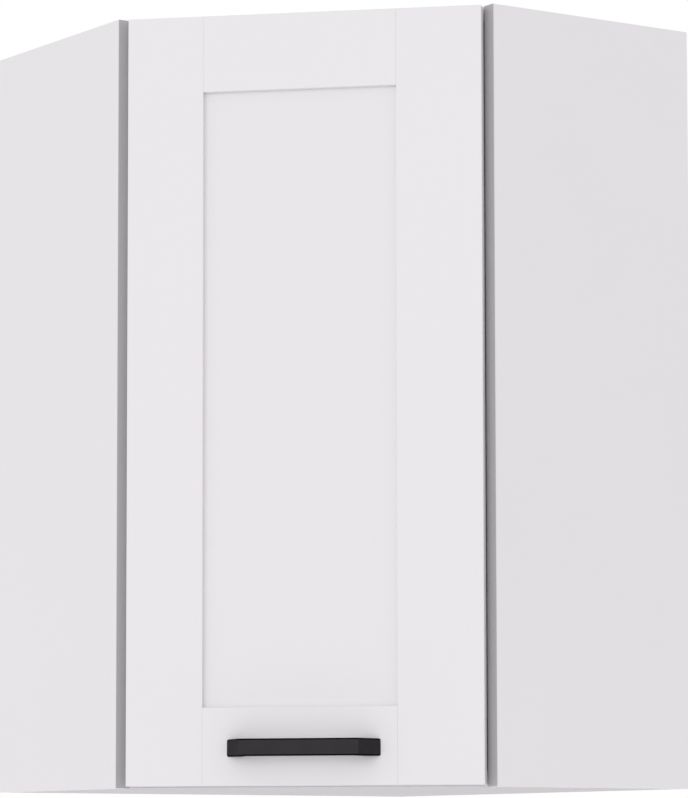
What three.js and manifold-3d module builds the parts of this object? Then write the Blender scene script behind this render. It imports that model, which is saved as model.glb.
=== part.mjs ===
// Diagonal corner wall cabinet: a five-sided carcase for the corner of a room, closed by one frame-and-panel
// door that stands at 45 degrees to both walls and swings on two single-pivot cup hinges.
// Millimetres, +Z up. The origin is the centre of the square footprint, on the underside of the carcase. The
// walls of the room are the planes x = -FOOTPRINT / 2 and y = +FOOTPRINT / 2.
import * as THREE from "three";
import { mergeVertices } from "three/addons/utils/BufferGeometryUtils.js";
import Module from "manifold-3d";

const wasm = await Module();
wasm.setup();

// ---------------------------------------------------------------- carcase sizes
const FOOTPRINT = 600; // along each wall
const HEIGHT = 900;
const SIDE_DEPTH = 286; // of each side panel, wall to front edge
const BOARD = 18;
const BOARD_SETBACK = 2; // of the end boards' front edges, behind the sides' inner front corners
const FIT = 0.3; // left between pieces that slide or rest together
const WALL_RECESS = 16; // from the wall to the back panels
const BACK_BOARD = 3;
const GROOVE_DEPTH = 6;
const BACK_PLAY = 0.5; // short of the bottom of each groove
const POST_WIDTH = 76;
const POST_PROUD = 6; // of the post strips, behind the back panels
const SHELF_BOTTOMS = { lower: 296, upper: 592 };
const SHELF_PLAY = 1; // round each shelf
const SHELF_SETBACK = 20; // of each shelf's front edge, behind the boards' front edge

// ---------------------------------------------------------------- door sizes
const DOOR_THICK = 18;
const DOOR_SIDE_GAP = 0.3;
const DOOR_BACK_GAP = 1;
const DOOR_END_GAP = 2;
const LEFT_STILE_WIDTH = 90;
const RIGHT_STILE_WIDTH = 100;
const RAIL_WIDTH = 90;
const PANEL_THICK = 6;
const PANEL_INSET = 7; // of the panel's face, behind the door's face
const PANEL_GROOVE = 9;
const PANEL_PLAY = 0.5;
const BUMPER_RADIUS = 4;
const BUMPER_INSET = 12; // from the door's free edge

// ---------------------------------------------------------------- handle sizes
const HANDLE_STEP = 32; // handles are made with their screws a multiple of this apart
const HANDLE_CLEARANCE = 25; // least, from the screws to the stiles
const HANDLE_OVERHANG = 10; // of each end, beyond its screw
const HANDLE_REACH = 33;
const HANDLE_BAR = 8;
const HANDLE_HEIGHT = 20;
const HANDLE_SLANT = 20.5; // of each leg, front to foot
const HANDLE_FOOT = 19;
const HANDLE_RISE = 43; // above the door's bottom edge
const HANDLE_SCREW_RADIUS = 2;
const HANDLE_SCREW_HEAD = 4.2;
const HANDLE_SCREW_HEAD_HEIGHT = 2.2;
const HANDLE_SCREW_BITE = 8; // into the handle's foot

// ---------------------------------------------------------------- hinge sizes
const HINGE_INSET = 100; // from the carcase's top and bottom to the hinges
const CUP_RADIUS = 17.5;
const CUP_DEPTH = 13;
const CUP_WALL = 1.2;
const CUP_FLOOR = 0.8;
const CUP_EDGE = 3.5; // of door left beside the cup
const FLANGE_THICK = 1.2;
const FLANGE_LENGTH = 62;
const FLANGE_WIDTH = 22;
const FLANGE_OFFSET = 5; // of the flange's middle, from the cup's
const CUP_SCREW_SPACING = 48;
const CUP_SCREW_OFFSET = 9.5;
const CUP_SCREW_RADIUS = 1.75;
const CUP_SCREW_HEAD = 3.5;
const CUP_SCREW_HEAD_HEIGHT = 1.6;
const CUP_SCREW_LENGTH = 12;
const PIVOT_FROM_EDGE = 7.8; // of the door
const PIVOT_DEPTH = 9.2; // below the door's back face
const PIN_RADIUS = 1.3;
const BARREL_RADIUS = 2.6;
const EAR_WIDTH = 3.8;
const EAR_REACH = 3;
const NECK_HEIGHT = 7;
const NECK_THICK = 3;
const NECK_REACH = 16; // from the pivot to the outside of the crank
const NECK_DROP = 14; // from the pivot to the crank's second bend
const ARM_WIDTH = 13;
const ARM_HEIGHT = 10;
const ARM_WALL = 1.5;
const ARM_WEB = 2;
const PLATE_THICK = 4;
const PLATE_LENGTH = 54;
const PLATE_SETBACK = 12; // from the side panel's front edge
const PLATE_DRILLING = 37; // from the side panel's front edge to the plate's screws
const WING_LENGTH = 44;
const WING_WIDTH = 14;
const WING_THICK = 3;
const RIDGE_HEIGHT = 7;
const PLATE_SCREW_SPACING = 32;
const PLATE_SCREW_RADIUS = 3.1;
const PLATE_SCREW_HEAD = 4.6;
const PLATE_SCREW_HEAD_HEIGHT = 2;
const PLATE_SCREW_LENGTH = 11;
const SET_SCREW_RADIUS = 2.4;
const SET_SCREW_HEAD = 4;
const SET_SCREW_HEAD_HEIGHT = 2;
const SET_SCREW_FLOOR = 2; // of plate left under the clamp screw
const CLAMP_FROM_END = 12; // of the arm's rear end
const ADJUSTER_FROM_END = 38;

// ---------------------------------------------------------------- small fittings
const PIN_SHANK_RADIUS = 2.5;
const PIN_SHANK_LENGTH = 8;
const PIN_SEAT_LENGTH = 9;
const PIN_SEAT_WIDTH = 8;
const PIN_SEAT_HEIGHT = 6;
const PIN_FROM_FRONT = 30; // from the shelf's front corner, along the side panel
const PIN_FROM_POST_EDGE = 30;
const CAM_RADIUS = 7.5;
const CAM_DEPTH = 12;
const CAM_FROM_SIDE = 24;
const CAM_FROM_FRONT = 60;

// ---------------------------------------------------------------- screws and cutters
const SCREW_POINT = 2; // length of a wood screw's taper
const SCREW_DOME = 1; // rounding at the rim of a screw's head
const SLOT_WIDTH = 1.2;
const SLOT_DEPTH = 1;
const PAST = 1; // how far a cutter runs past a face

// ---------------------------------------------------------------- wall hangers
const HANGER = { width: 18, depth: 42, height: 58, topGap: 3, chamfer: 15 };
const HOOK = { thick: 3, height: 16, fromTop: 8, inside: 30, lipWidth: 4, width: 12, wallGap: 1.5 };
const HOOK_WINDOW = { sideGap: 2, topGap: 2, bottomGap: 4 }; // round the hook, in the back panel
const HANGER_SCREW = { radius: 2.5, head: 4, length: 20, fromHook: 14, headDepth: 2.5 };

// ---------------------------------------------------------------- worked out from the sizes above
const HALF = FOOTPRINT / 2;
const FRONT = SIDE_DEPTH - HALF; // x of the left side's front edge; the right side's is at y = -FRONT
const INNER = HALF - BOARD;
const OUTER_DIFFERENCE = FRONT + HALF; // x - y along the line through the sides' outer front corners
const DOOR_CENTRE = OUTER_DIFFERENCE / 2;
const SQRT2 = Math.SQRT2;
const INNER_LINE = BOARD / SQRT2; // the sides' inner front corners, behind the outer ones, square to the door
const BOARD_LINE = INNER_LINE + BOARD_SETBACK;
const BOARD_DIFFERENCE = OUTER_DIFFERENCE - BOARD_LINE * SQRT2;
const DOOR_HALF = (HALF - FRONT - BOARD) / SQRT2 - DOOR_SIDE_GAP;
const DOOR_BACK = INNER_LINE - DOOR_BACK_GAP;
const DOOR_FACE = DOOR_BACK - DOOR_THICK;
const DOOR_BOTTOM = DOOR_END_GAP;
const DOOR_TOP = HEIGHT - DOOR_END_GAP;
const BACK_PLANE = HALF - WALL_RECESS; // distance of the back panels' rear faces from the origin
const BACK_FACE = BACK_PLANE - BACK_BOARD;
const POST_REAR = BACK_PLANE + POST_PROUD;
const POST_FACE = POST_REAR - BOARD;
const POST_EDGE = POST_REAR - POST_WIDTH;
const HINGE_HEIGHTS = { lower: HINGE_INSET, upper: HEIGHT - HINGE_INSET };
const PIVOT = { x: -DOOR_HALF + PIVOT_FROM_EDGE, y: DOOR_BACK - PIVOT_DEPTH };
const CUP_X = -DOOR_HALF + CUP_EDGE + CUP_RADIUS;
const FLANGE_BACK = DOOR_BACK + FLANGE_THICK;
const HANDLE_Z = DOOR_BOTTOM + HANDLE_RISE;
const ARM_SEAT = -INNER + PLATE_THICK + FIT;
const ARM_BACK = ARM_SEAT + ARM_HEIGHT;
const ARM_FRONT = FRONT - PLATE_SETBACK;
const ARM_END = ARM_FRONT - PLATE_LENGTH;

// ---------------------------------------------------------------- materials
function finish(color, roughness, metalness = 0) {
  return new THREE.MeshStandardMaterial({ color, roughness, metalness });
}

const MATERIALS = {
  board: finish(0xe9e7ea, 0.55),
  backBoard: finish(0xe4e2e2, 0.7),
  door: finish(0xebe9ed, 0.4),
  handle: finish(0x38363a, 0.45, 0.6),
  steel: finish(0xb9bbbe, 0.3, 1),
  zinc: finish(0xa9abad, 0.38, 0.9),
  plastic: finish(0xdedede, 0.5),
  rubber: finish(0xd9dadb, 0.6),
};

// ---------------------------------------------------------------- geometry helpers
/** A box between two corners. */
function box(x0, x1, y0, y1, z0, z1) {
  const shape = new THREE.BoxGeometry(x1 - x0, y1 - y0, z1 - z0);
  return shape.translate((x0 + x1) / 2, (y0 + y1) / 2, (z0 + z1) / 2);
}

/** An upright prism over a list of [x, y] corners. */
function prism(corners, z0, z1) {
  const outline = new THREE.Shape(corners.map(([x, y]) => new THREE.Vector2(x, y)));
  return new THREE.ExtrudeGeometry(outline, { depth: z1 - z0, bevelEnabled: false }).translate(0, 0, z0);
}

/** A cylinder along "x", "y" or "z" from one coordinate on that axis to another. */
function rod(axis, radius, from, to, first, second, sides = 24) {
  const shape = new THREE.CylinderGeometry(radius, radius, Math.abs(to - from), sides);
  const middle = (from + to) / 2;
  if (axis === "x") return shape.rotateZ(Math.PI / 2).translate(middle, first, second);
  if (axis === "y") return shape.translate(first, middle, second);
  return shape.rotateX(Math.PI / 2).translate(first, second, middle);
}

/** A round solid whose profile of [radius, depth] points turns about a line along y. */
function turned(profile, x, z, sides = 32) {
  const points = profile.map(([radius, depth]) => new THREE.Vector2(radius, depth));
  return new THREE.LatheGeometry(points, sides).translate(x, 0, z);
}

/** The geometry as a solid that can be cut and joined. */
function solid(geometry) {
  const bare = geometry.clone();
  bare.deleteAttribute("normal");
  bare.deleteAttribute("uv");
  const merged = mergeVertices(bare, 1e-4);
  const vertProperties = new Float32Array(merged.attributes.position.array);
  const triVerts = new Uint32Array(merged.index.array);
  return new wasm.Manifold(new wasm.Mesh({ numProp: 3, vertProperties, triVerts }));
}

/** A geometry from a solid. */
function geometryOf(body) {
  const { vertProperties, triVerts, numProp } = body.getMesh();
  const positions = new Float32Array((vertProperties.length / numProp) * 3);
  for (let i = 0; i < positions.length / 3; i += 1) {
    for (let k = 0; k < 3; k += 1) positions[3 * i + k] = vertProperties[numProp * i + k];
  }
  const geometry = new THREE.BufferGeometry();
  geometry.setAttribute("position", new THREE.BufferAttribute(positions, 3));
  geometry.setIndex([...triVerts]);
  geometry.computeVertexNormals();
  return geometry;
}

/** The first geometry with the others joined on. */
const join = (first, ...others) => geometryOf(others.reduce((body, g) => body.add(solid(g)), solid(first)));

/** The first geometry with the others cut away. */
function carve(first, ...cutters) {
  return geometryOf(cutters.reduce((body, g) => body.subtract(solid(g)), solid(first)));
}

/** What two geometries share. */
const common = (first, second) => geometryOf(solid(first).intersect(solid(second)));

/** The geometry mirrored in the cabinet's plane of symmetry, which swaps the two walls: (x, y) to (-y, -x). */
function mirrored(geometry) {
  const flipped = geometryOf(solid(geometry));
  const swap = new THREE.Matrix4().set(0, -1, 0, 0, -1, 0, 0, 0, 0, 0, 1, 0, 0, 0, 0, 1);
  flipped.applyMatrix4(swap);
  const index = flipped.index.array;
  for (let i = 0; i < index.length; i += 3) [index[i], index[i + 1]] = [index[i + 1], index[i]];
  flipped.computeVertexNormals();
  return flipped;
}

/** A point of the door's plan in the cabinet's plan. */
function fromDoor(x, y) {
  return [DOOR_CENTRE + (x - y) / SQRT2, -DOOR_CENTRE + (x + y) / SQRT2];
}

function piece(name, geometry, material) {
  const mesh = new THREE.Mesh(geometry, material);
  mesh.name = name;
  return mesh;
}

/** A straight slot across a round face at a place along y. */
function driverSlot(x, z, radius, face) {
  const half = SLOT_WIDTH / 2;
  return box(x - radius - PAST, x + radius + PAST, face - SLOT_DEPTH, face + PAST, z - half, z + half);
}

/** A slotted screw along y, from its tip to a head that sits on the seat. */
function screw(x, z, { tip, seat, radius, head, headHeight, point = 0 }) {
  const top = seat + headHeight;
  const end = point ? [[radius / 2, tip], [radius, tip + point]] : [[radius, tip]];
  const profile = [
    [0, tip],
    ...end,
    [radius, seat],
    [head, seat],
    [head, top - SCREW_DOME / 2],
    [head - SCREW_DOME, top],
    [0, top],
  ];
  return carve(turned(profile, x, z, 14), driverSlot(x, z, head, top));
}

// ---------------------------------------------------------------- carcase
/** A cutter for the groove that holds the left back panel. */
function backGroove(y0, y1, z0, z1) {
  return box(-BACK_PLANE - FIT, -BACK_FACE + FIT, y0, y1, z0, z1);
}

/** The groove and the shelf pins' holes, as both sides have them. */
function sideCutters() {
  const groove = backGroove(-INNER - GROOVE_DEPTH, -INNER + PAST, -PAST, HEIGHT + PAST);
  return [groove, ...Object.values(SHELF_BOTTOMS).map(shelfPinHole)];
}

/** The holes for the hinge plates' screws, as cutters. */
function plateHoles() {
  const depth = -INNER - PLATE_SCREW_LENGTH + WING_THICK - FIT;
  const half = PLATE_SCREW_SPACING / 2;
  return Object.values(HINGE_HEIGHTS).flatMap((hinge) =>
    [hinge - half, hinge + half].map((z) =>
      rod("y", PLATE_SCREW_RADIUS + FIT, depth, -INNER + PAST, FRONT - PLATE_DRILLING, z, 16),
    ),
  );
}

const shelfPinX = FRONT - (SHELF_SETBACK * SQRT2 + PIN_FROM_FRONT);

function shelfPinHole(shelfBottom) {
  const z = shelfBottom - PIN_SEAT_HEIGHT / 2;
  return rod("y", PIN_SHANK_RADIUS + FIT, -INNER - PIN_SHANK_LENGTH - FIT, -INNER + PAST, shelfPinX, z);
}

/** A side as it stands on the left. */
function side(...cutters) {
  return carve(box(-HALF, FRONT, -HALF, -INNER, 0, HEIGHT), ...sideCutters(), ...cutters);
}

/** The plan of the top and bottom boards, between the sides and out to both walls. */
const BOARD_PLAN = [
  [-HALF, HALF],
  [-HALF, -INNER],
  [BOARD_DIFFERENCE - INNER, -INNER],
  [INNER, INNER - BOARD_DIFFERENCE],
  [INNER, HALF],
];

/** A cam's place in the cabinet's plan, near the left side. */
const CAM_PLACE = [FRONT - CAM_FROM_FRONT, -INNER + CAM_FROM_SIDE];

/** Top or bottom board, with grooves for the backs and pockets for the cams on its inner face. */
function endBoard(z0, innerFace) {
  const inward = Math.sign(innerFace - z0 - BOARD / 2);
  const [low, high] = [innerFace - inward * GROOVE_DEPTH, innerFace + inward].sort((a, b) => a - b);
  const leftGroove = backGroove(-INNER - PAST, POST_EDGE + GROOVE_DEPTH, low, high);
  const [x, y] = CAM_PLACE;
  const cam = rod("z", CAM_RADIUS + FIT, innerFace - inward * (CAM_DEPTH + FIT), innerFace + inward, x, y);
  return carve(prism(BOARD_PLAN, z0, z0 + BOARD), leftGroove, mirrored(leftGroove), cam, mirrored(cam));
}

/** The left back panel, with a window for the hanger's hook. */
function backLeft() {
  const reach = GROOVE_DEPTH - BACK_PLAY;
  const [bottom, top] = [BOARD - reach, HEIGHT - BOARD + reach];
  const sheet = box(-BACK_PLANE, -BACK_FACE, -INNER - reach, POST_EDGE + reach, bottom, top);
  const half = HOOK.width / 2 + HOOK_WINDOW.sideGap;
  const [low, high] = [hookTop() - HOOK.height - HOOK_WINDOW.bottomGap, hookTop() + HOOK_WINDOW.topGap];
  return carve(sheet, box(-HALF, -BACK_FACE + PAST, hookMiddle() - half, hookMiddle() + half, low, high));
}

/** A strip of the corner post as it stands on the left, from its free edge to its corner edge. */
function postStrip(cornerEdge) {
  const strip = box(-POST_REAR, -POST_FACE, POST_EDGE, cornerEdge, BOARD, HEIGHT - BOARD);
  const groove = backGroove(POST_EDGE - PAST, POST_EDGE + GROOVE_DEPTH, 0, HEIGHT);
  return carve(strip, groove, ...Object.values(SHELF_BOTTOMS).map(postPinHole));
}

const postPinY = POST_EDGE + PIN_FROM_POST_EDGE;

function postPinHole(shelfBottom) {
  const z = shelfBottom - PIN_SEAT_HEIGHT / 2;
  const end = -POST_FACE - PIN_SHANK_LENGTH - FIT;
  return rod("x", PIN_SHANK_RADIUS + FIT, end, -POST_FACE + PAST, postPinY, z);
}

/** A shelf: the carcase's inner plan, notched round the corner post. */
function shelf(bottom) {
  const edge = BACK_FACE - SHELF_PLAY;
  const side = INNER - SHELF_PLAY;
  const notch = POST_FACE - SHELF_PLAY;
  const start = POST_EDGE - SHELF_PLAY;
  const front = BOARD_DIFFERENCE - SHELF_SETBACK * SQRT2;
  const plan = [
    [-edge, -side],
    [front - side, -side],
    [side, side - front],
    [side, edge],
    [-start, edge],
    [-start, notch],
    [-notch, notch],
    [-notch, start],
    [-edge, start],
  ];
  return prism(plan, bottom, bottom + BOARD);
}

/** A shelf pin in the left side: a round shank in the panel and a flat seat under the shelf. */
function sidePin(shelfBottom) {
  const z = shelfBottom - PIN_SEAT_HEIGHT / 2;
  const shank = rod("y", PIN_SHANK_RADIUS, -INNER - PIN_SHANK_LENGTH, -INNER + PAST, shelfPinX, z, 16);
  const half = PIN_SEAT_WIDTH / 2;
  const [near, far] = [shelfPinX - half, shelfPinX + half];
  const seat = box(near, far, -INNER, -INNER + PIN_SEAT_LENGTH, shelfBottom - PIN_SEAT_HEIGHT, shelfBottom);
  return join(shank, seat);
}

/** A shelf pin in the left strip of the corner post. */
function postPin(shelfBottom) {
  const z = shelfBottom - PIN_SEAT_HEIGHT / 2;
  const shank = rod("x", PIN_SHANK_RADIUS, -POST_FACE - PIN_SHANK_LENGTH, -POST_FACE + PAST, postPinY, z, 16);
  const half = PIN_SEAT_WIDTH / 2;
  const [near, far] = [postPinY - half, postPinY + half];
  const under = shelfBottom - PIN_SEAT_HEIGHT;
  const seat = box(-POST_FACE, -POST_FACE + PIN_SEAT_LENGTH, near, far, under, shelfBottom);
  return join(shank, seat);
}

/** A cam fitting that draws an end board to the left side, flush with the board's inner face. */
function cam(innerFace, inward) {
  const [x, y] = CAM_PLACE;
  const disc = rod("z", CAM_RADIUS, innerFace - inward * CAM_DEPTH, innerFace, x, y);
  const slotEnds = [innerFace - inward * SLOT_DEPTH, innerFace + inward].sort((a, b) => a - b);
  const half = CAM_RADIUS / 2;
  return carve(disc, box(x - half, x + half, y - SLOT_WIDTH, y + SLOT_WIDTH, ...slotEnds));
}

// ---------------------------------------------------------------- wall hangers, drawn at the left wall
const hangerTop = () => HEIGHT - BOARD - HANGER.topGap;
const hookMiddle = () => -INNER + HANGER.width / 2;
const hookTop = () => hangerTop() - HOOK.fromTop;
const hangerBack = () => -BACK_FACE + FIT;

function hangerScrewHeights() {
  const hookBottom = hookTop() - HOOK.height;
  return { height: hookBottom - HANGER_SCREW.fromHook, depth: hookTop() - HOOK.height / 2 };
}

/** The moulded housing, screwed to the side, that the hook slides in. */
function hangerHousing() {
  const [back, front] = [hangerBack(), hangerBack() + HANGER.depth];
  const top = hangerTop();
  const bottom = top - HANGER.height;
  const body = box(back, front, -INNER, -INNER + HANGER.width, bottom, top);
  const chamfer = new THREE.Shape([
    new THREE.Vector2(front + PAST, bottom - PAST),
    new THREE.Vector2(front + PAST, bottom + HANGER.chamfer),
    new THREE.Vector2(front - HANGER.chamfer, bottom - PAST),
  ]);
  const corner = new THREE.ExtrudeGeometry(chamfer, { depth: HANGER.width + 2 * PAST, bevelEnabled: false });
  corner.rotateX(Math.PI / 2).translate(0, -INNER + HANGER.width + PAST, 0);
  const half = HOOK.width / 2 + FIT;
  const [left, right] = [hookMiddle() - half, hookMiddle() + half];
  const [low, high] = [hookTop() - HOOK.height - FIT, hookTop() + FIT];
  const slot = box(back - PAST, back + HOOK.inside + FIT, left, right, low, high);
  const bores = Object.values(hangerScrewHeights()).map((height) =>
    rod("x", HANGER_SCREW.radius + FIT, front - HANGER_SCREW.length - FIT, front + PAST, hookMiddle(), height),
  );
  return carve(body, corner, slot, ...bores);
}

/** The steel hook: a shank from the housing through the back panel, with a lip that drops behind a rail. */
function hangerHook() {
  const shankEnd = hangerBack() + HOOK.inside;
  const nose = -HALF + HOOK.wallGap;
  const half = HOOK.width / 2;
  const [low, high] = [hookMiddle() - half, hookMiddle() + half];
  const bottom = hookTop() - HOOK.height;
  const shank = box(nose, shankEnd, low, high, hookTop() - HOOK.thick, hookTop());
  const lip = box(nose, nose + HOOK.lipWidth, low, high, bottom, hookTop());
  const tail = box(shankEnd - HOOK.thick, shankEnd, low, high, bottom, hookTop());
  return join(shank, lip, tail);
}

/** An adjusting screw, from the housing's front face. */
function hangerScrew(height) {
  const front = hangerBack() + HANGER.depth;
  const meetsHook = height > hookTop() - HOOK.height;
  const start = meetsHook ? hangerBack() + HOOK.inside + FIT : front - HANGER_SCREW.length;
  const [seat, face] = [front + FIT / 2, front + FIT / 2 + HANGER_SCREW.headDepth];
  const shaft = rod("x", HANGER_SCREW.radius, start, seat + PAST, hookMiddle(), height, 14);
  const head = rod("x", HANGER_SCREW.head, seat, face, hookMiddle(), height, 16);
  const [wide, half] = [HANGER_SCREW.head + PAST, SLOT_WIDTH / 2];
  const [left, right] = [hookMiddle() - wide, hookMiddle() + wide];
  const slot = box(face - SLOT_DEPTH, face + PAST, left, right, height - half, height + half);
  return carve(join(shaft, head), slot);
}

// ---------------------------------------------------------------- door, square on: +x right, +y to its back
const STILE_EDGES = { left: -DOOR_HALF + LEFT_STILE_WIDTH, right: DOOR_HALF - RIGHT_STILE_WIDTH };
const PANEL_FACE = DOOR_FACE + PANEL_INSET;
const PANEL_BACK = PANEL_FACE + PANEL_THICK;

/** A stile with a groove along its inner edge, and bores for the hinges in the left one. */
function stile(side) {
  const left = side === "left";
  const edge = STILE_EDGES[side];
  const [near, far] = left ? [-DOOR_HALF, edge] : [edge, DOOR_HALF];
  const blank = box(near, far, DOOR_FACE, DOOR_BACK, DOOR_BOTTOM, DOOR_TOP);
  const inward = left ? -1 : 1;
  const ends = [edge - inward, edge + inward * PANEL_GROOVE].sort((a, b) => a - b);
  const groove = box(...ends, PANEL_FACE - FIT, PANEL_BACK + FIT, DOOR_BOTTOM - PAST, DOOR_TOP + PAST);
  return carve(blank, groove, ...(left ? Object.values(HINGE_HEIGHTS).flatMap(hingeBores) : []));
}

/** The bores in the left stile for one hinge's cup and its two screws. */
function hingeBores(z) {
  const cup = rod("y", CUP_RADIUS + FIT, DOOR_BACK - CUP_DEPTH - FIT, DOOR_BACK + PAST, CUP_X, z, 32);
  const pilots = [-1, 1].map((side) => {
    const depth = FLANGE_BACK - CUP_SCREW_LENGTH - FIT;
    const height = z + (side * CUP_SCREW_SPACING) / 2;
    return rod("y", CUP_SCREW_RADIUS + FIT, depth, DOOR_BACK + PAST, CUP_X + CUP_SCREW_OFFSET, height, 16);
  });
  return [cup, ...pilots];
}

/** A rail, tongued into both stiles and grooved for the panel. */
function rail(z0, z1, panelSide) {
  const { left, right } = STILE_EDGES;
  const body = box(left + FIT, right - FIT, DOOR_FACE, DOOR_BACK, z0, z1);
  const reach = PANEL_GROOVE - PANEL_PLAY;
  const tongue = box(left - reach, right + reach, PANEL_FACE, PANEL_BACK, z0, z1);
  const inner = panelSide > 0 ? z1 : z0;
  const ends = [inner - panelSide * PANEL_GROOVE, inner + panelSide].sort((a, b) => a - b);
  const wide = PANEL_GROOVE + PAST;
  const groove = box(left - wide, right + wide, PANEL_FACE - FIT, PANEL_BACK + FIT, ...ends);
  return carve(join(body, tongue), groove);
}

const HANDLE_ROOM = 2 * (Math.min(-STILE_EDGES.left, STILE_EDGES.right) - HANDLE_CLEARANCE);
const HANDLE_CENTRES = HANDLE_STEP * Math.floor(HANDLE_ROOM / HANDLE_STEP);
const HANDLE_SCREW_XS = { left: -HANDLE_CENTRES / 2, right: HANDLE_CENTRES / 2 };

/** The bottom rail, with clearance holes for the handle's screws. */
function bottomRail() {
  const blank = rail(DOOR_BOTTOM, DOOR_BOTTOM + RAIL_WIDTH, 1);
  const holes = Object.values(HANDLE_SCREW_XS).map((x) =>
    rod("y", HANDLE_SCREW_RADIUS + FIT, DOOR_FACE - PAST, DOOR_BACK + PAST, x, HANDLE_Z, 16),
  );
  return carve(blank, ...holes);
}

function doorPanel() {
  const reach = PANEL_GROOVE - PANEL_PLAY;
  const { left, right } = STILE_EDGES;
  const [low, high] = [DOOR_BOTTOM + RAIL_WIDTH - reach, DOOR_TOP - RAIL_WIDTH + reach];
  return box(left - reach, right + reach, PANEL_FACE, PANEL_BACK, low, high);
}

/** A soft bumper on the door's back, over the edge of an end board. */
function bumper(z) {
  const x = DOOR_HALF - BUMPER_INSET;
  return rod("y", BUMPER_RADIUS, DOOR_BACK + FIT / 2, BOARD_LINE - FIT / 2, x, z, 20);
}

// ---------------------------------------------------------------- handle
/** The bow handle: a flat bar on two slanting legs. */
function handle() {
  const foot = DOOR_FACE - FIT;
  const front = foot - HANDLE_REACH;
  const end = HANDLE_CENTRES / 2 + HANDLE_OVERHANG;
  const shoulder = end - HANDLE_SLANT;
  const innerFoot = end - HANDLE_FOOT;
  const innerShoulder = innerFoot - HANDLE_SLANT / 2;
  const plan = [
    [-end, foot],
    [-innerFoot, foot],
    [-innerShoulder, front + HANDLE_BAR],
    [innerShoulder, front + HANDLE_BAR],
    [innerFoot, foot],
    [end, foot],
    [shoulder, front],
    [-shoulder, front],
  ];
  const bow = prism(plan, HANDLE_Z - HANDLE_HEIGHT / 2, HANDLE_Z + HANDLE_HEIGHT / 2);
  const bores = Object.values(HANDLE_SCREW_XS).map((x) =>
    rod("y", HANDLE_SCREW_RADIUS + FIT, foot - HANDLE_SCREW_BITE - FIT, foot + PAST, x, HANDLE_Z, 16),
  );
  return carve(bow, ...bores);
}

/** A machine screw from the door's back into the handle's foot. */
function handleScrew(x) {
  return screw(x, HANDLE_Z, {
    tip: DOOR_FACE - FIT - HANDLE_SCREW_BITE,
    seat: DOOR_BACK + FIT / 2,
    radius: HANDLE_SCREW_RADIUS,
    head: HANDLE_SCREW_HEAD,
    headHeight: HANDLE_SCREW_HEAD_HEIGHT,
  });
}

// ---------------------------------------------------------------- hinge, drawn in the door's plan
/** The pressed cup with its flange and the two ears that hold the pivot pin. */
function hingeCup(z) {
  const floor = DOOR_BACK - CUP_DEPTH;
  const shell = turned(
    [
      [0, floor],
      [CUP_RADIUS, floor],
      [CUP_RADIUS, FLANGE_BACK],
      [CUP_RADIUS - CUP_WALL, FLANGE_BACK],
      [CUP_RADIUS - CUP_WALL, floor + CUP_FLOOR],
      [0, floor + CUP_FLOOR],
    ],
    CUP_X,
    z,
  );
  const flange = hingeFlange(z);
  const plug = rod("y", CUP_RADIUS - CUP_WALL / 2, floor + CUP_FLOOR / 2, FLANGE_BACK, CUP_X, z, 32);
  const gap = NECK_HEIGHT / 2 + FIT * 2;
  const ears = [-1, 1].map((side) => {
    const [low, high] = [z + side * gap, z + side * (gap + EAR_WIDTH)].sort((a, b) => a - b);
    const [x0, x1] = [CUP_X - CUP_RADIUS, PIVOT.x + EAR_REACH];
    return common(box(x0, x1, floor + CUP_FLOOR / 2, PIVOT.y + EAR_REACH, low, high), plug);
  });
  const half = NECK_HEIGHT / 2 + FIT * 2 + EAR_WIDTH + FIT;
  const pinBore = rod("z", PIN_RADIUS + FIT, z - half, z + half, PIVOT.x, PIVOT.y, 16);
  return carve(join(shell, flange, ...ears), pinBore);
}

/** The flange behind the door, open over the cup and drilled for two screws. */
function hingeFlange(z) {
  const [x0, x1] = [CUP_X + FLANGE_OFFSET - FLANGE_WIDTH / 2, CUP_X + FLANGE_OFFSET + FLANGE_WIDTH / 2];
  const [back, front] = [FLANGE_BACK, DOOR_BACK + FIT / 2];
  const bar = box(x0, x1, front, back, z - FLANGE_LENGTH / 2, z + FLANGE_LENGTH / 2);
  const mouth = rod("y", CUP_RADIUS - CUP_WALL / 2, front - PAST, back + PAST, CUP_X, z, 32);
  const holes = [-1, 1].map((side) => {
    const height = z + (side * CUP_SCREW_SPACING) / 2;
    return rod("y", CUP_SCREW_RADIUS + FIT, front - PAST, back + PAST, CUP_X + CUP_SCREW_OFFSET, height, 16);
  });
  return carve(bar, mouth, ...holes);
}

function hingePin(z) {
  const half = NECK_HEIGHT / 2 + FIT * 2 + EAR_WIDTH;
  return rod("z", PIN_RADIUS, z - half, z + half, PIVOT.x, PIVOT.y, 16);
}

function cupScrew(z) {
  return screw(CUP_X + CUP_SCREW_OFFSET, z, {
    tip: FLANGE_BACK - CUP_SCREW_LENGTH,
    seat: FLANGE_BACK + FIT / 2,
    radius: CUP_SCREW_RADIUS,
    head: CUP_SCREW_HEAD,
    headHeight: CUP_SCREW_HEAD_HEIGHT,
    point: SCREW_POINT,
  });
}

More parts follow.
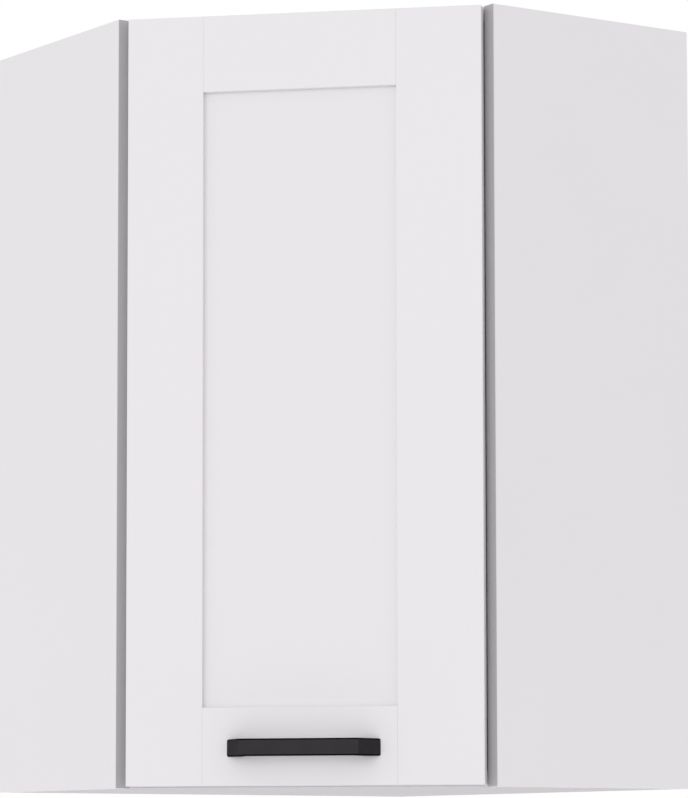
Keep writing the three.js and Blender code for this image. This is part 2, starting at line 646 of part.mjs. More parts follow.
/** The cranked arm: a barrel on the pin, a neck round the door's edge, and a channel over the plate. */
function hingeArm(z) {
  const low = z - NECK_HEIGHT / 2;
  const high = z + NECK_HEIGHT / 2;
  const [px, py] = fromDoor(PIVOT.x, PIVOT.y);
  const near = -BARREL_RADIUS;
  const far = near + NECK_THICK;
  const inside = NECK_REACH - NECK_THICK;
  const at = (x, y) => fromDoor(PIVOT.x + x, PIVOT.y + y);
  const neck = prism(
    [
      at(0, near),
      at(NECK_REACH, near),
      at(NECK_REACH, NECK_DROP),
      [ARM_FRONT, ARM_BACK],
      [ARM_FRONT - ARM_WEB, ARM_BACK],
      [ARM_FRONT - ARM_WEB, ARM_SEAT],
      [ARM_FRONT, ARM_SEAT],
      at(inside, NECK_DROP - NECK_THICK),
      at(inside, far),
      at(0, far),
    ].reverse(),
    low,
    high,
  );
  const barrel = rod("z", BARREL_RADIUS, low, high, px, py);
  const half = ARM_WIDTH / 2;
  const channel = box(ARM_END, ARM_FRONT, ARM_SEAT, ARM_BACK, z - half, z + half);
  const open = half - ARM_WALL;
  const web = ARM_BACK - ARM_WEB;
  const hollow = box(ARM_END - PAST, ARM_FRONT - ARM_WEB, ARM_SEAT - PAST, web, z - open, z + open);
  const pinBore = rod("z", PIN_RADIUS + FIT, low - PAST, high + PAST, px, py, 16);
  const screwBores = [CLAMP_FROM_END, ADJUSTER_FROM_END].map((from) =>
    rod("y", SET_SCREW_RADIUS + FIT, ARM_SEAT, ARM_BACK + PAST, ARM_END + from, z, 16),
  );
  return carve(join(channel, neck, barrel), hollow, pinBore, ...screwBores);
}

/** The mounting plate: a base and two wings on the side panel, with a ridge inside the arm. */
function hingePlate(z) {
  const half = ARM_WIDTH / 2;
  const base = box(ARM_END, ARM_FRONT, -INNER, -INNER + PLATE_THICK, z - half, z + half);
  const middle = FRONT - PLATE_DRILLING;
  const [x0, x1] = [middle - WING_WIDTH / 2, middle + WING_WIDTH / 2];
  const wings = box(x0, x1, -INNER, -INNER + WING_THICK, z - WING_LENGTH / 2, z + WING_LENGTH / 2);
  const ridgeHalf = half - ARM_WALL - FIT * 2;
  const ridgeTop = -INNER + PLATE_THICK + RIDGE_HEIGHT;
  const ridge = box(ARM_END, ARM_FRONT - ARM_WEB - FIT * 2, -INNER, ridgeTop, z - ridgeHalf, z + ridgeHalf);
  const clampX = ARM_END + CLAMP_FROM_END;
  const clamp = rod("y", SET_SCREW_RADIUS + FIT, -INNER + SET_SCREW_FLOOR, ridgeTop + PAST, clampX, z, 16);
  const holes = [-1, 1].map((side) => {
    const height = z + (side * PLATE_SCREW_SPACING) / 2;
    return rod("y", PLATE_SCREW_RADIUS + FIT, -INNER - PAST, -INNER + WING_THICK + PAST, middle, height, 20);
  });
  return carve(join(base, wings, ridge), clamp, ...holes);
}

function plateScrew(z) {
  return screw(FRONT - PLATE_DRILLING, z, {
    tip: -INNER + WING_THICK - PLATE_SCREW_LENGTH,
    seat: -INNER + WING_THICK + FIT / 2,
    radius: PLATE_SCREW_RADIUS,
    head: PLATE_SCREW_HEAD,
    headHeight: PLATE_SCREW_HEAD_HEIGHT,
    point: SCREW_POINT,
  });
}

/** The screw that clamps the arm to the plate's ridge. */
function clampScrew(z) {
  return screw(ARM_END + CLAMP_FROM_END, z, {
    tip: -INNER + SET_SCREW_FLOOR + FIT,
    seat: ARM_BACK + FIT / 2,
    radius: SET_SCREW_RADIUS,
    head: SET_SCREW_HEAD,
    headHeight: SET_SCREW_HEAD_HEIGHT,
  });
}

/** The headless screw through the arm's web that sets the door's overlay. */
function adjusterScrew(z) {
  const x = ARM_END + ADJUSTER_FROM_END;
  const tip = -INNER + PLATE_THICK + RIDGE_HEIGHT + FIT;
  const top = ARM_BACK + SLOT_DEPTH;
  return carve(rod("y", SET_SCREW_RADIUS, tip, top, x, z, 16), driverSlot(x, z, SET_SCREW_RADIUS, top));
}

// ---------------------------------------------------------------- assembly
function carcase() {
  const group = new THREE.Group();
  const { board, backBoard, steel, plastic, zinc } = MATERIALS;
  group.add(
    piece("side_left", side(...plateHoles()), board),
    piece("side_right", mirrored(side()), board),
    piece("bottom_board", endBoard(0, BOARD), board),
    piece("top_board", endBoard(HEIGHT - BOARD, HEIGHT - BOARD), board),
    piece("back_left", backLeft(), backBoard),
    piece("back_right", mirrored(backLeft()), backBoard),
    piece("corner_post_left", postStrip(POST_REAR), board),
    piece("corner_post_right", mirrored(postStrip(POST_FACE)), board),
  );
  for (const [level, bottom] of Object.entries(SHELF_BOTTOMS)) {
    group.add(
      piece(`shelf_${level}`, shelf(bottom), board),
      piece(`shelf_pin_${level}_side_left`, sidePin(bottom), steel),
      piece(`shelf_pin_${level}_side_right`, mirrored(sidePin(bottom)), steel),
      piece(`shelf_pin_${level}_post_left`, postPin(bottom), steel),
      piece(`shelf_pin_${level}_post_right`, mirrored(postPin(bottom)), steel),
    );
  }
  for (const [end, face, inward] of [["bottom", BOARD, 1], ["top", HEIGHT - BOARD, -1]]) {
    group.add(
      piece(`cam_${end}_left`, cam(face, inward), zinc),
      piece(`cam_${end}_right`, mirrored(cam(face, inward)), zinc),
    );
  }
  const heights = hangerScrewHeights();
  for (const [side, place] of [["left", (g) => g], ["right", mirrored]]) {
    group.add(
      piece(`hanger_housing_${side}`, place(hangerHousing()), plastic),
      piece(`hanger_hook_${side}`, place(hangerHook()), steel),
      piece(`hanger_height_screw_${side}`, place(hangerScrew(heights.height)), steel),
      piece(`hanger_depth_screw_${side}`, place(hangerScrew(heights.depth)), steel),
    );
  }
  for (const [level, z] of Object.entries(HINGE_HEIGHTS)) {
    const spread = PLATE_SCREW_SPACING / 2;
    group.add(
      piece(`hinge_${level}_arm`, hingeArm(z), steel),
      piece(`hinge_${level}_plate`, hingePlate(z), steel),
      piece(`hinge_${level}_plate_screw_low`, plateScrew(z - spread), steel),
      piece(`hinge_${level}_plate_screw_high`, plateScrew(z + spread), steel),
      piece(`hinge_${level}_clamp_screw`, clampScrew(z), steel),
      piece(`hinge_${level}_adjuster_screw`, adjusterScrew(z), steel),
    );
  }
  return group;
}

function door() {
  const group = new THREE.Group();
  group.position.set(DOOR_CENTRE, -DOOR_CENTRE, 0);
  group.rotation.z = Math.PI / 4;
  const { door: paint, handle: dark, steel, rubber } = MATERIALS;
  group.add(
    piece("door_stile_left", stile("left"), paint),
    piece("door_stile_right", stile("right"), paint),
    piece("door_rail_bottom", bottomRail(), paint),
    piece("door_rail_top", rail(DOOR_TOP - RAIL_WIDTH, DOOR_TOP, -1), paint),
    piece("door_panel", doorPanel(), paint),
    piece("handle", handle(), dark),
    piece("bumper_bottom", bumper(BOARD / 2), rubber),
    piece("bumper_top", bumper(HEIGHT - BOARD / 2), rubber),
  );
  for (const [side, x] of Object.entries(HANDLE_SCREW_XS)) {
    group.add(piece(`handle_screw_${side}`, handleScrew(x), steel));
  }
  for (const [level, z] of Object.entries(HINGE_HEIGHTS)) {
    const spread = CUP_SCREW_SPACING / 2;
    group.add(
      piece(`hinge_${level}_cup`, hingeCup(z), steel),
      piece(`hinge_${level}_pin`, hingePin(z), steel),
      piece(`hinge_${level}_cup_screw_low`, cupScrew(z - spread), steel),
      piece(`hinge_${level}_cup_screw_high`, cupScrew(z + spread), steel),
    );
  }
  return group;
}

const cabinet = new THREE.Group();
cabinet.add(carcase(), door());

export default cabinet;
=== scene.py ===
"""The looks of a diagonal corner wall cabinet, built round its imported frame.

Sizes are in millimetres, in the frame of the CAD part: +Z up, the origin in the middle of the square
footprint on the underside, the room's walls at the planes x = -300 and y = +300. Pieces that each wall has
are modelled at the left wall and mirrored. Door pieces are modelled square on, +x to the door's right and
+y to its back, and then turned into place.
"""

from __future__ import annotations

import logging
import math
from dataclasses import dataclass
from enum import Enum
from typing import Callable, Iterable, Optional, Sequence, Union

import bmesh
import bpy
from mathutils import Matrix, Vector

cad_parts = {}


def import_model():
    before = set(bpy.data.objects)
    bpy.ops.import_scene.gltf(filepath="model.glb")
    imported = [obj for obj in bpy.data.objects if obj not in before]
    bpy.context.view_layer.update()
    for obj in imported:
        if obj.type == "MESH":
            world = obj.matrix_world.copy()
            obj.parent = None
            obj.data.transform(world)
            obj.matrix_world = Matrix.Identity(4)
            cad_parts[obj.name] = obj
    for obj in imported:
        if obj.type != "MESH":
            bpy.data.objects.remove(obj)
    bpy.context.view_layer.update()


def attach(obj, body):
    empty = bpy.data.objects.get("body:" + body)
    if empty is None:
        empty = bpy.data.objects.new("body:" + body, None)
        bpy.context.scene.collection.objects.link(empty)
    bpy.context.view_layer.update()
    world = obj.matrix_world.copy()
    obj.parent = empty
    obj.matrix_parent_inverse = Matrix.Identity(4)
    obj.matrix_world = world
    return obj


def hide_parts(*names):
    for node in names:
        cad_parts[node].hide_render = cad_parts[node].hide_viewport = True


LOG = logging.getLogger("corner_cabinet")
MM = 0.001
ROOT2 = math.sqrt(2.0)
PAST = 1.0  # how far a cutter runs past the face that it cuts
SHARP = 30.0  # degrees past which an edge is rounded
NEAR = 0.01  # how far an end may lie from the place where it is looked for
Point = Sequence[float]
Colour = tuple[float, float, float]
Number = Union[float, "Value"]
Socket = bpy.types.NodeSocket
FaceTest = Callable[[Vector, Vector], bool]
EdgeTest = Callable[[Vector, Vector], bool]


class Body(Enum):
    """What a piece moves with."""

    CABINET = "cabinet"
    DOOR = "door"


class Slot(Enum):
    """The material slots that the finishes belong to."""

    BOARD = "board"
    BACK_BOARD = "back_board"
    DOOR_PAINT = "door_paint"
    DARK_METAL = "dark_metal"
    STEEL = "steel"
    ZINC = "zinc"
    PLASTIC = "plastic"
    CLEAR_RUBBER = "clear_rubber"


class Axis(Enum):
    """A direction that a rod lies along, with the turn that lays a z cylinder on it."""

    X = (0.0, math.pi / 2, 0.0)
    Y = (-math.pi / 2, 0.0, 0.0)
    Z = (0.0, 0.0, 0.0)


class Wall(Enum):
    """The wall that a piece belongs to."""

    LEFT = "left"
    RIGHT = "right"


class End(Enum):
    """The bottom or the top of the cabinet."""

    BOTTOM = "bottom"
    TOP = "top"


@dataclass(frozen=True)
class Layout:
    """The driving dimensions that several sub-assemblies share, and what follows from them."""

    half: float = 300.0
    side_depth: float = 286.0
    height: float = 900.0
    board: float = 18.0
    board_setback: float = 2.0
    back_rear: float = -284.0
    back_face: float = -281.0
    post_rear: float = -290.0
    post_face: float = -272.0
    post_edge: float = 214.0
    shelf_setback: float = 20.0
    shelf_bottoms: tuple[float, float] = (296.0, 592.0)
    door_thick: float = 18.0
    door_side_gap: float = 0.3
    door_back_gap: float = 1.0
    door_end_gap: float = 2.0
    hinge_inset: float = 100.0

    @property
    def inner(self) -> float:
        """Distance of the sides' inner faces from the middle."""
        return self.half - self.board

    @property
    def front(self) -> float:
        """Where the left side's front edge is."""
        return self.side_depth - self.half

    @property
    def inner_line(self) -> float:
        """From the line through the sides' outer front corners back to the inner ones."""
        return self.board / ROOT2

    @property
    def board_front(self) -> float:
        """x - y along the front edge of an end board."""
        return self.side_depth - (self.inner_line + self.board_setback) * ROOT2

    @property
    def shelf_front(self) -> float:
        """x - y along the front edge of a shelf."""
        return self.board_front - self.shelf_setback * ROOT2

    @property
    def door_half(self) -> float:
        """Half the door's width."""
        return (self.half - self.front - self.board) / ROOT2 - self.door_side_gap

    @property
    def door_back(self) -> float:
        """The door's rear face, behind the line through the sides' outer front corners."""
        return self.inner_line - self.door_back_gap

    @property
    def door_face(self) -> float:
        """The door's front face."""
        return self.door_back - self.door_thick

    @property
    def hinge_heights(self) -> dict[str, float]:
        """The heights of the two hinges."""
        return {"lower": self.hinge_inset, "upper": self.height - self.hinge_inset}


PLAN = Layout()


# ----------------------------------------------------------------------------------------- finishes
class Value:
    """A number that changes over a surface: a node's output, with Python's arithmetic."""

    def __init__(self, recipe: "Recipe", socket: Socket) -> None:
        """Wraps one output socket of a recipe's node tree."""
        self.recipe = recipe
        self.socket = socket

    def _maths(self, operation: str, first: Number, second: Number) -> "Value":
        """Adds one Math node and wraps its result."""
        return self.recipe.value("ShaderNodeMath", {"operation": operation}, {0: first, 1: second})

    def __add__(self, other: Number) -> "Value":
        """self + other."""
        return self._maths("ADD", self, other)

    def __sub__(self, other: Number) -> "Value":
        """self - other."""
        return self._maths("SUBTRACT", self, other)

    def __rsub__(self, other: Number) -> "Value":
        """other - self."""
        return self._maths("SUBTRACT", other, self)

    def __mul__(self, other: Number) -> "Value":
        """self * other."""
        return self._maths("MULTIPLY", self, other)

    def above(self, edge: float, softness: float) -> "Value":
        """A mask that rises from 0 to 1 round an edge.

        Args:
            edge: The value at which the mask is a half.
            softness: Half the width of the rise.

        Returns:
            The mask, eased at both ends.
        """
        inputs = {"Value": self, "From Min": edge - softness, "From Max": edge + softness}
        return self.recipe.value("ShaderNodeMapRange", {"interpolation_type": "SMOOTHSTEP"}, inputs)


class Recipe:
    """One material's node tree, and the few ways in which its nodes are added."""

    def __init__(self, name: str) -> None:
        """Starts a material with one Principled shader."""
        self.material = bpy.data.materials.new(name)
        self.material.use_nodes = True
        self.nodes = self.material.node_tree.nodes
        self.links = self.material.node_tree.links
        self.nodes.clear()
        self.shader = self.nodes.new("ShaderNodeBsdfPrincipled")
        output = self.nodes.new("ShaderNodeOutputMaterial")
        self.links.new(self.shader.outputs["BSDF"], output.inputs["Surface"])

    def fill(self, socket: Socket, entry: object) -> None:
        """Links a value, socket or node to a socket, or sets the socket's own number or colour.

        Args:
            socket: The input to fill.
            entry: What it gets.
        """
        if isinstance(entry, Value):
            self.links.new(entry.socket, socket)
        elif isinstance(entry, Socket):
            self.links.new(entry, socket)
        else:
            socket.default_value = entry

    def node(self, kind: str, settings: dict, inputs: dict) -> bpy.types.Node:
        """Adds a node.

        Args:
            kind: Blender's name of the node's type.
            settings: Its own properties, set first.
            inputs: What its sockets get, by name or number.

        Returns:
            The node.
        """
        node = self.nodes.new(kind)
        for name, setting in settings.items():
            setattr(node, name, setting)
        for name, entry in inputs.items():
            self.fill(node.inputs[name], entry)
        return node

    def value(self, kind: str, settings: dict, inputs: dict) -> Value:
        """Adds a node and wraps its first output.

        Args:
            kind: Blender's name of the node's type.
            settings: Its own properties.
            inputs: What its sockets get.

        Returns:
            The wrapped output.
        """
        return Value(self, self.node(kind, settings, inputs).outputs[0])

    def place(self, stretch: Point = (1.0, 1.0, 1.0)) -> Socket:
        """Where the surface is, on the object's own coordinates.

        Args:
            stretch: How much denser a pattern is along each axis.

        Returns:
            The socket that holds the place.
        """
        coordinates = self.node("ShaderNodeTexCoord", {}, {}).outputs["Object"]
        inputs = {"Vector": coordinates, "Scale": tuple(stretch)}
        return self.node("ShaderNodeMapping", {}, inputs).outputs["Vector"]

    def noise(self, scale: float, detail: float, at: Optional[Socket] = None) -> Value:
        """Smooth noise from 0 to 1.

        Args:
            scale: Lumps in each metre.
            detail: Octaves of finer noise.
            at: The place that it reads.

        Returns:
            The noise.
        """
        inputs = {"Vector": at or self.place(), "Scale": scale, "Detail": detail}
        return self.value("ShaderNodeTexNoise", {}, inputs)

    def mixed(self, mask: Number, first: Union[Colour, Socket], second: Colour) -> Socket:
        """A colour between two, by a mask.

        Args:
            mask: 0 for the first colour and 1 for the second.
            first: The first colour, or a socket that holds one.
            second: The second colour.

        Returns:
            The socket that holds the colour.
        """
        start = first if isinstance(first, Socket) else (*first, 1.0)
        inputs = {0: mask, 6: start, 7: (*second, 1.0)}  # 6 and 7 are the node's two colours
        return self.node("ShaderNodeMix", {"data_type": "RGBA"}, inputs).outputs[2]

    def relief(self, height: Value, depth: float, strength: float) -> None:
        """Makes the surface's fine relief.

        Args:
            height: The relief, from 0 to 1.
            depth: Its depth in millimetres.
            strength: How much of it shows.
        """
        inputs = {"Strength": strength, "Distance": depth * MM, "Height": height}
        self.fill(self.shader.inputs["Normal"], self.node("ShaderNodeBump", {}, inputs).outputs["Normal"])

    def set(self, **inputs: object) -> None:
        """Fills sockets of the shader, named with underscores for spaces."""
        for name, entry in inputs.items():
            colour = isinstance(entry, tuple) and len(entry) == 3
            self.fill(self.shader.inputs[name.replace("_", " ")], (*entry, 1.0) if colour else entry)


@dataclass(frozen=True)
class Finish:
    """A finish: its name, the slot that it belongs to and its main colour."""

    name: str
    slot: Slot
    colour: Colour
    roughness: float

    def material(self) -> bpy.types.Material:
        """The finish's material, made once."""
        found = bpy.data.materials.get(self.name)
        if found is not None:
            return found
        recipe = Recipe(self.name)
        self.cook(recipe)
        return recipe.material

    def cook(self, recipe: Recipe) -> None:
        """Adds the finish's nodes; each kind of finish has its own."""
        raise NotImplementedError

    def shaded(self, share: float) -> Colour:
        """The main colour, made lighter or darker by a share."""
        return tuple(channel * share for channel in self.colour)


@dataclass(frozen=True)
class Melamine(Finish):
    """Resin-faced board: a fine pearl, and a faint cloudiness in colour and gloss."""

    pearl: float = 1100.0
    pearl_depth: float = 0.035
    shine: float = 0.5

    def cook(self, recipe: Recipe) -> None:
        """Mixes the cloudy colour, the pearl and the uneven gloss."""
        clouds = recipe.noise(5.0, 3.0)
        pearl = recipe.noise(self.pearl, 2.0)
        recipe.set(
            Base_Color=recipe.mixed(clouds, self.shaded(0.985), self.shaded(1.012)),
            Roughness=clouds * 0.06 + pearl * 0.08 + (self.roughness - 0.07),
            Specular_IOR_Level=self.shine,
        )
        recipe.relief(pearl, self.pearl_depth, 0.6)


@dataclass(frozen=True)
class EdgeBand(Finish):
    """Plastic edging: smoother than the board, with the faint lines of the scraper that trimmed it."""

    def cook(self, recipe: Recipe) -> None:
        """Mixes the scraper's lines."""
        lines = recipe.noise(900.0, 1.0, recipe.place((1.0, 1.0, 0.02)))
        recipe.set(
            Base_Color=recipe.mixed(lines, self.shaded(0.97), self.shaded(1.01)),
            Roughness=lines * 0.12 + (self.roughness - 0.06),
        )
        recipe.relief(lines, 0.02, 0.5)


@dataclass(frozen=True)
class Chipboard(Finish):
    """The raw core of the board: pressed chips of wood, light and dark, with pores between them."""

    chip: float = 420.0

    def cook(self, recipe: Recipe) -> None:
        """Mixes chips, glue and pores."""
        place = recipe.place((1.0, 1.0, 0.7))
        cells = recipe.node("ShaderNodeTexVoronoi", {}, {"Vector": place, "Scale": self.chip})
        tone = recipe.value("ShaderNodeSeparateColor", {}, {0: cells.outputs["Color"]})
        edge = Value(recipe, cells.outputs["Distance"]).above(0.55, 0.12)
        chips = recipe.mixed(tone, self.shaded(0.72), self.shaded(1.25))
        fibre = recipe.noise(2600.0, 2.0, place)
        toned = recipe.mixed(fibre * 0.5, chips, self.shaded(0.85))
        recipe.set(Base_Color=recipe.mixed(edge * 0.55, toned, self.shaded(0.35)), Roughness=self.roughness)
        recipe.relief(tone * 0.6 + fibre * 0.3 - edge * 0.5, 0.25, 0.8)


@dataclass(frozen=True)
class Hardboard(Finish):
    """The bare rear of the back panels: brown fibres, felted and pressed on a wire screen."""

    def cook(self, recipe: Recipe) -> None:
        """Mixes blotches, fibres and the screen's print."""
        blotches = recipe.noise(9.0, 5.0)
        fibres = recipe.noise(700.0, 4.0, recipe.place((1.0, 1.0, 0.45)))
        screen = recipe.value("ShaderNodeTexVoronoi", {}, {"Vector": recipe.place(), "Scale": 650.0})
        mask = (blotches * 0.3 + fibres * 0.7).above(0.5, 0.35)
        recipe.set(
            Base_Color=recipe.mixed(mask, self.shaded(0.78), self.shaded(1.2)),
            Roughness=self.roughness - fibres * 0.1,
        )
        recipe.relief(screen * 0.5 + fibres * 0.5, 0.12, 0.7)


@dataclass(frozen=True)
class Lacquer(Finish):
    """Sprayed paint: silky, with the slight unevenness of a sprayed film."""

    peel: float = 260.0
    peel_depth: float = 0.03

    def cook(self, recipe: Recipe) -> None:
        """Mixes the film's thickness, its gloss and its peel."""
        film = recipe.noise(3.5, 2.0)
        peel = recipe.noise(self.peel, 1.0)
        dust = recipe.noise(1500.0, 1.0)
        recipe.set(
            Base_Color=recipe.mixed(film, self.shaded(0.99), self.shaded(1.008)),
            Roughness=film * 0.05 + dust * 0.06 + (self.roughness - 0.05),
        )
        recipe.relief(peel * 0.8 + dust * 0.2, self.peel_depth, 0.5)


@dataclass(frozen=True)
class PowderCoat(Finish):
    """Dark powder coating on metal: a fine orange peel, and a little grey where hands rub it."""

    rubbed: float = 0.35
    shine: float = 0.02

    def cook(self, recipe: Recipe) -> None:
        """Mixes the powder's grain and the rubbed patches."""
        grain = recipe.noise(1900.0, 2.0)
        patches = recipe.noise(38.0, 3.0).above(0.62, 0.16) * self.rubbed
        recipe.set(
            Base_Color=recipe.mixed(patches, self.colour, self.shaded(1.35)),
            Specular_IOR_Level=self.shine,
            Roughness=grain * 0.12 - patches * 0.1 + (self.roughness - 0.05),
        )
        recipe.relief(grain, 0.03, 0.5)


@dataclass(frozen=True)
class Metal(Finish):
    """Bare or plated metal with a directional grain."""

    grain: tuple[float, float, float] = (1.0, 1.0, 0.04)
    grain_scale: float = 2200.0
    grain_depth: float = 0.012

    def cook(self, recipe: Recipe) -> None:
        """Mixes the grain and a slight tarnish."""
        grain = recipe.noise(self.grain_scale, 2.0, recipe.place(self.grain))
        tarnish = recipe.noise(90.0, 3.0)
        recipe.set(
            Base_Color=recipe.mixed(tarnish, self.shaded(0.86), self.shaded(1.06)),
            Roughness=grain * 0.18 + tarnish * 0.08 + (self.roughness - 0.13),
            Metallic=1.0,
        )
        recipe.relief(grain, self.grain_depth, 0.6)


@dataclass(frozen=True)
class Moulded(Finish):
    """Moulded plastic or rubber with a fine spark-eroded texture."""

    clearness: float = 0.0

    def cook(self, recipe: Recipe) -> None:
        """Mixes the mould's texture and the flow of the melt."""
        texture = recipe.noise(2400.0, 1.0)
        flow = recipe.noise(60.0, 2.0)
        recipe.set(
            Base_Color=recipe.mixed(flow, self.shaded(0.96), self.shaded(1.02)),
            Roughness=texture * 0.1 + flow * 0.05 + (self.roughness - 0.07),
            Transmission_Weight=self.clearness,
        )
        recipe.relief(texture, 0.02, 0.5)


WHITE_BOARD = Melamine("white_melamine", Slot.BOARD, (0.837, 0.815, 0.837), 0.46)
# Painted shade: the bottom board's underside is darker and duller than the other white faces, for the shade
# on a face turned down.
UNDERSIDE_PAINTED_SHADE = Melamine(
    "white_melamine_painted_underside_shade", Slot.BOARD, (0.665, 0.646, 0.665), 0.52, pearl=950.0, shine=0.05
)
WHITE_EDGE = EdgeBand("white_edging", Slot.BOARD, (0.78, 0.768, 0.79), 0.38)
# Painted shade: the sides' front edging is grey, darker than the white edging, for the shade in the narrow
# wedge beside the door.
PAINTED_SHADE_EDGE = EdgeBand("grey_edging_painted_shade", Slot.BOARD, (0.475, 0.46, 0.475), 0.42)
BOARD_CORE = Chipboard("raw_chipboard", Slot.BOARD, (0.50, 0.36, 0.22), 0.85)
BACK_WHITE = Melamine("white_faced_hardboard", Slot.BACK_BOARD, (0.77, 0.762, 0.775), 0.5, pearl=700.0)
BACK_BROWN = Hardboard("bare_hardboard", Slot.BACK_BOARD, (0.27, 0.165, 0.09), 0.82)
DOOR_WHITE = Lacquer("white_door_lacquer", Slot.DOOR_PAINT, (0.824, 0.801, 0.824), 0.36)
PANEL_WHITE = Lacquer("white_panel_lacquer", Slot.DOOR_PAINT, (0.822, 0.798, 0.822), 0.4, peel=230.0)
HANDLE_BLACK = PowderCoat("black_powder_coat", Slot.DARK_METAL, (0.041, 0.0375, 0.041), 0.6)
# Painted shade: the fronts of the handle's legs are darker than its bar, for the shade on faces turned from
# the light.
HANDLE_LEG_PAINTED_SHADE = PowderCoat("black_powder_coat_painted_leg_shade", Slot.DARK_METAL, (0.0285, 0.0265, 0.0285), 0.6)
# Painted shade: the handle's rounded edges are near black, for the dark shade where its faces turn away from
# the light.
HANDLE_EDGE_PAINTED_SHADE = PowderCoat("black_powder_coat_painted_edge_shade", Slot.DARK_METAL, (0.002, 0.002, 0.002), 0.6, rubbed=0.0)
EVEN = (1.0, 1.0, 1.0)
PLATED_STEEL = Metal("nickel_plated_steel", Slot.STEEL, (0.60, 0.60, 0.61), 0.3)
PLATE_STEEL = Metal("nickel_plated_plate", Slot.STEEL, (0.56, 0.56, 0.58), 0.36, EVEN)
SCREW_STEEL = Metal("zinc_plated_screw", Slot.STEEL, (0.55, 0.56, 0.58), 0.34, EVEN, 1500.0)
HOOK_STEEL = Metal("galvanised_hook", Slot.STEEL, (0.52, 0.53, 0.54), 0.42, (0.2, 1.0, 1.0), 900.0)
CAST_ZINC = Metal("cast_zinc", Slot.ZINC, (0.45, 0.45, 0.47), 0.46, EVEN, 700.0)
WHITE_PLASTIC = Moulded("white_plastic", Slot.PLASTIC, (0.76, 0.76, 0.75), 0.42)
CLEAR_RUBBER = Moulded("clear_rubber_dot", Slot.CLEAR_RUBBER, (0.86, 0.88, 0.88), 0.22, clearness=0.55)


# ----------------------------------------------------------------------------------------- the bench
DOOR_MIDDLE = Vector((PLAN.side_depth / 2, -PLAN.side_depth / 2, 0.0)) * MM
DOOR_PLACE = Matrix.Translation(DOOR_MIDDLE) @ Matrix.Rotation(math.radians(45.0), 4, "Z")
OTHER_WALL = Matrix(((0, -1, 0, 0), (-1, 0, 0, 0), (0, 0, 1, 0), (0, 0, 0, 1)))


def select_only(*objects: bpy.types.Object) -> None:
    """Selects these objects and nothing else, and makes the first one active."""
    for other in list(bpy.context.selected_objects):
        other.select_set(False)
    for chosen in objects:
        chosen.select_set(True)
    bpy.context.view_layer.objects.active = objects[0] if objects else None


def facing(x: float = 0.0, y: float = 0.0, z: float = 0.0, limit: float = 0.95) -> FaceTest:
    """A test for faces whose normal lies along a direction."""
    direction = Vector((x, y, z)).normalized()
    return lambda middle, normal: normal.dot(direction) > limit


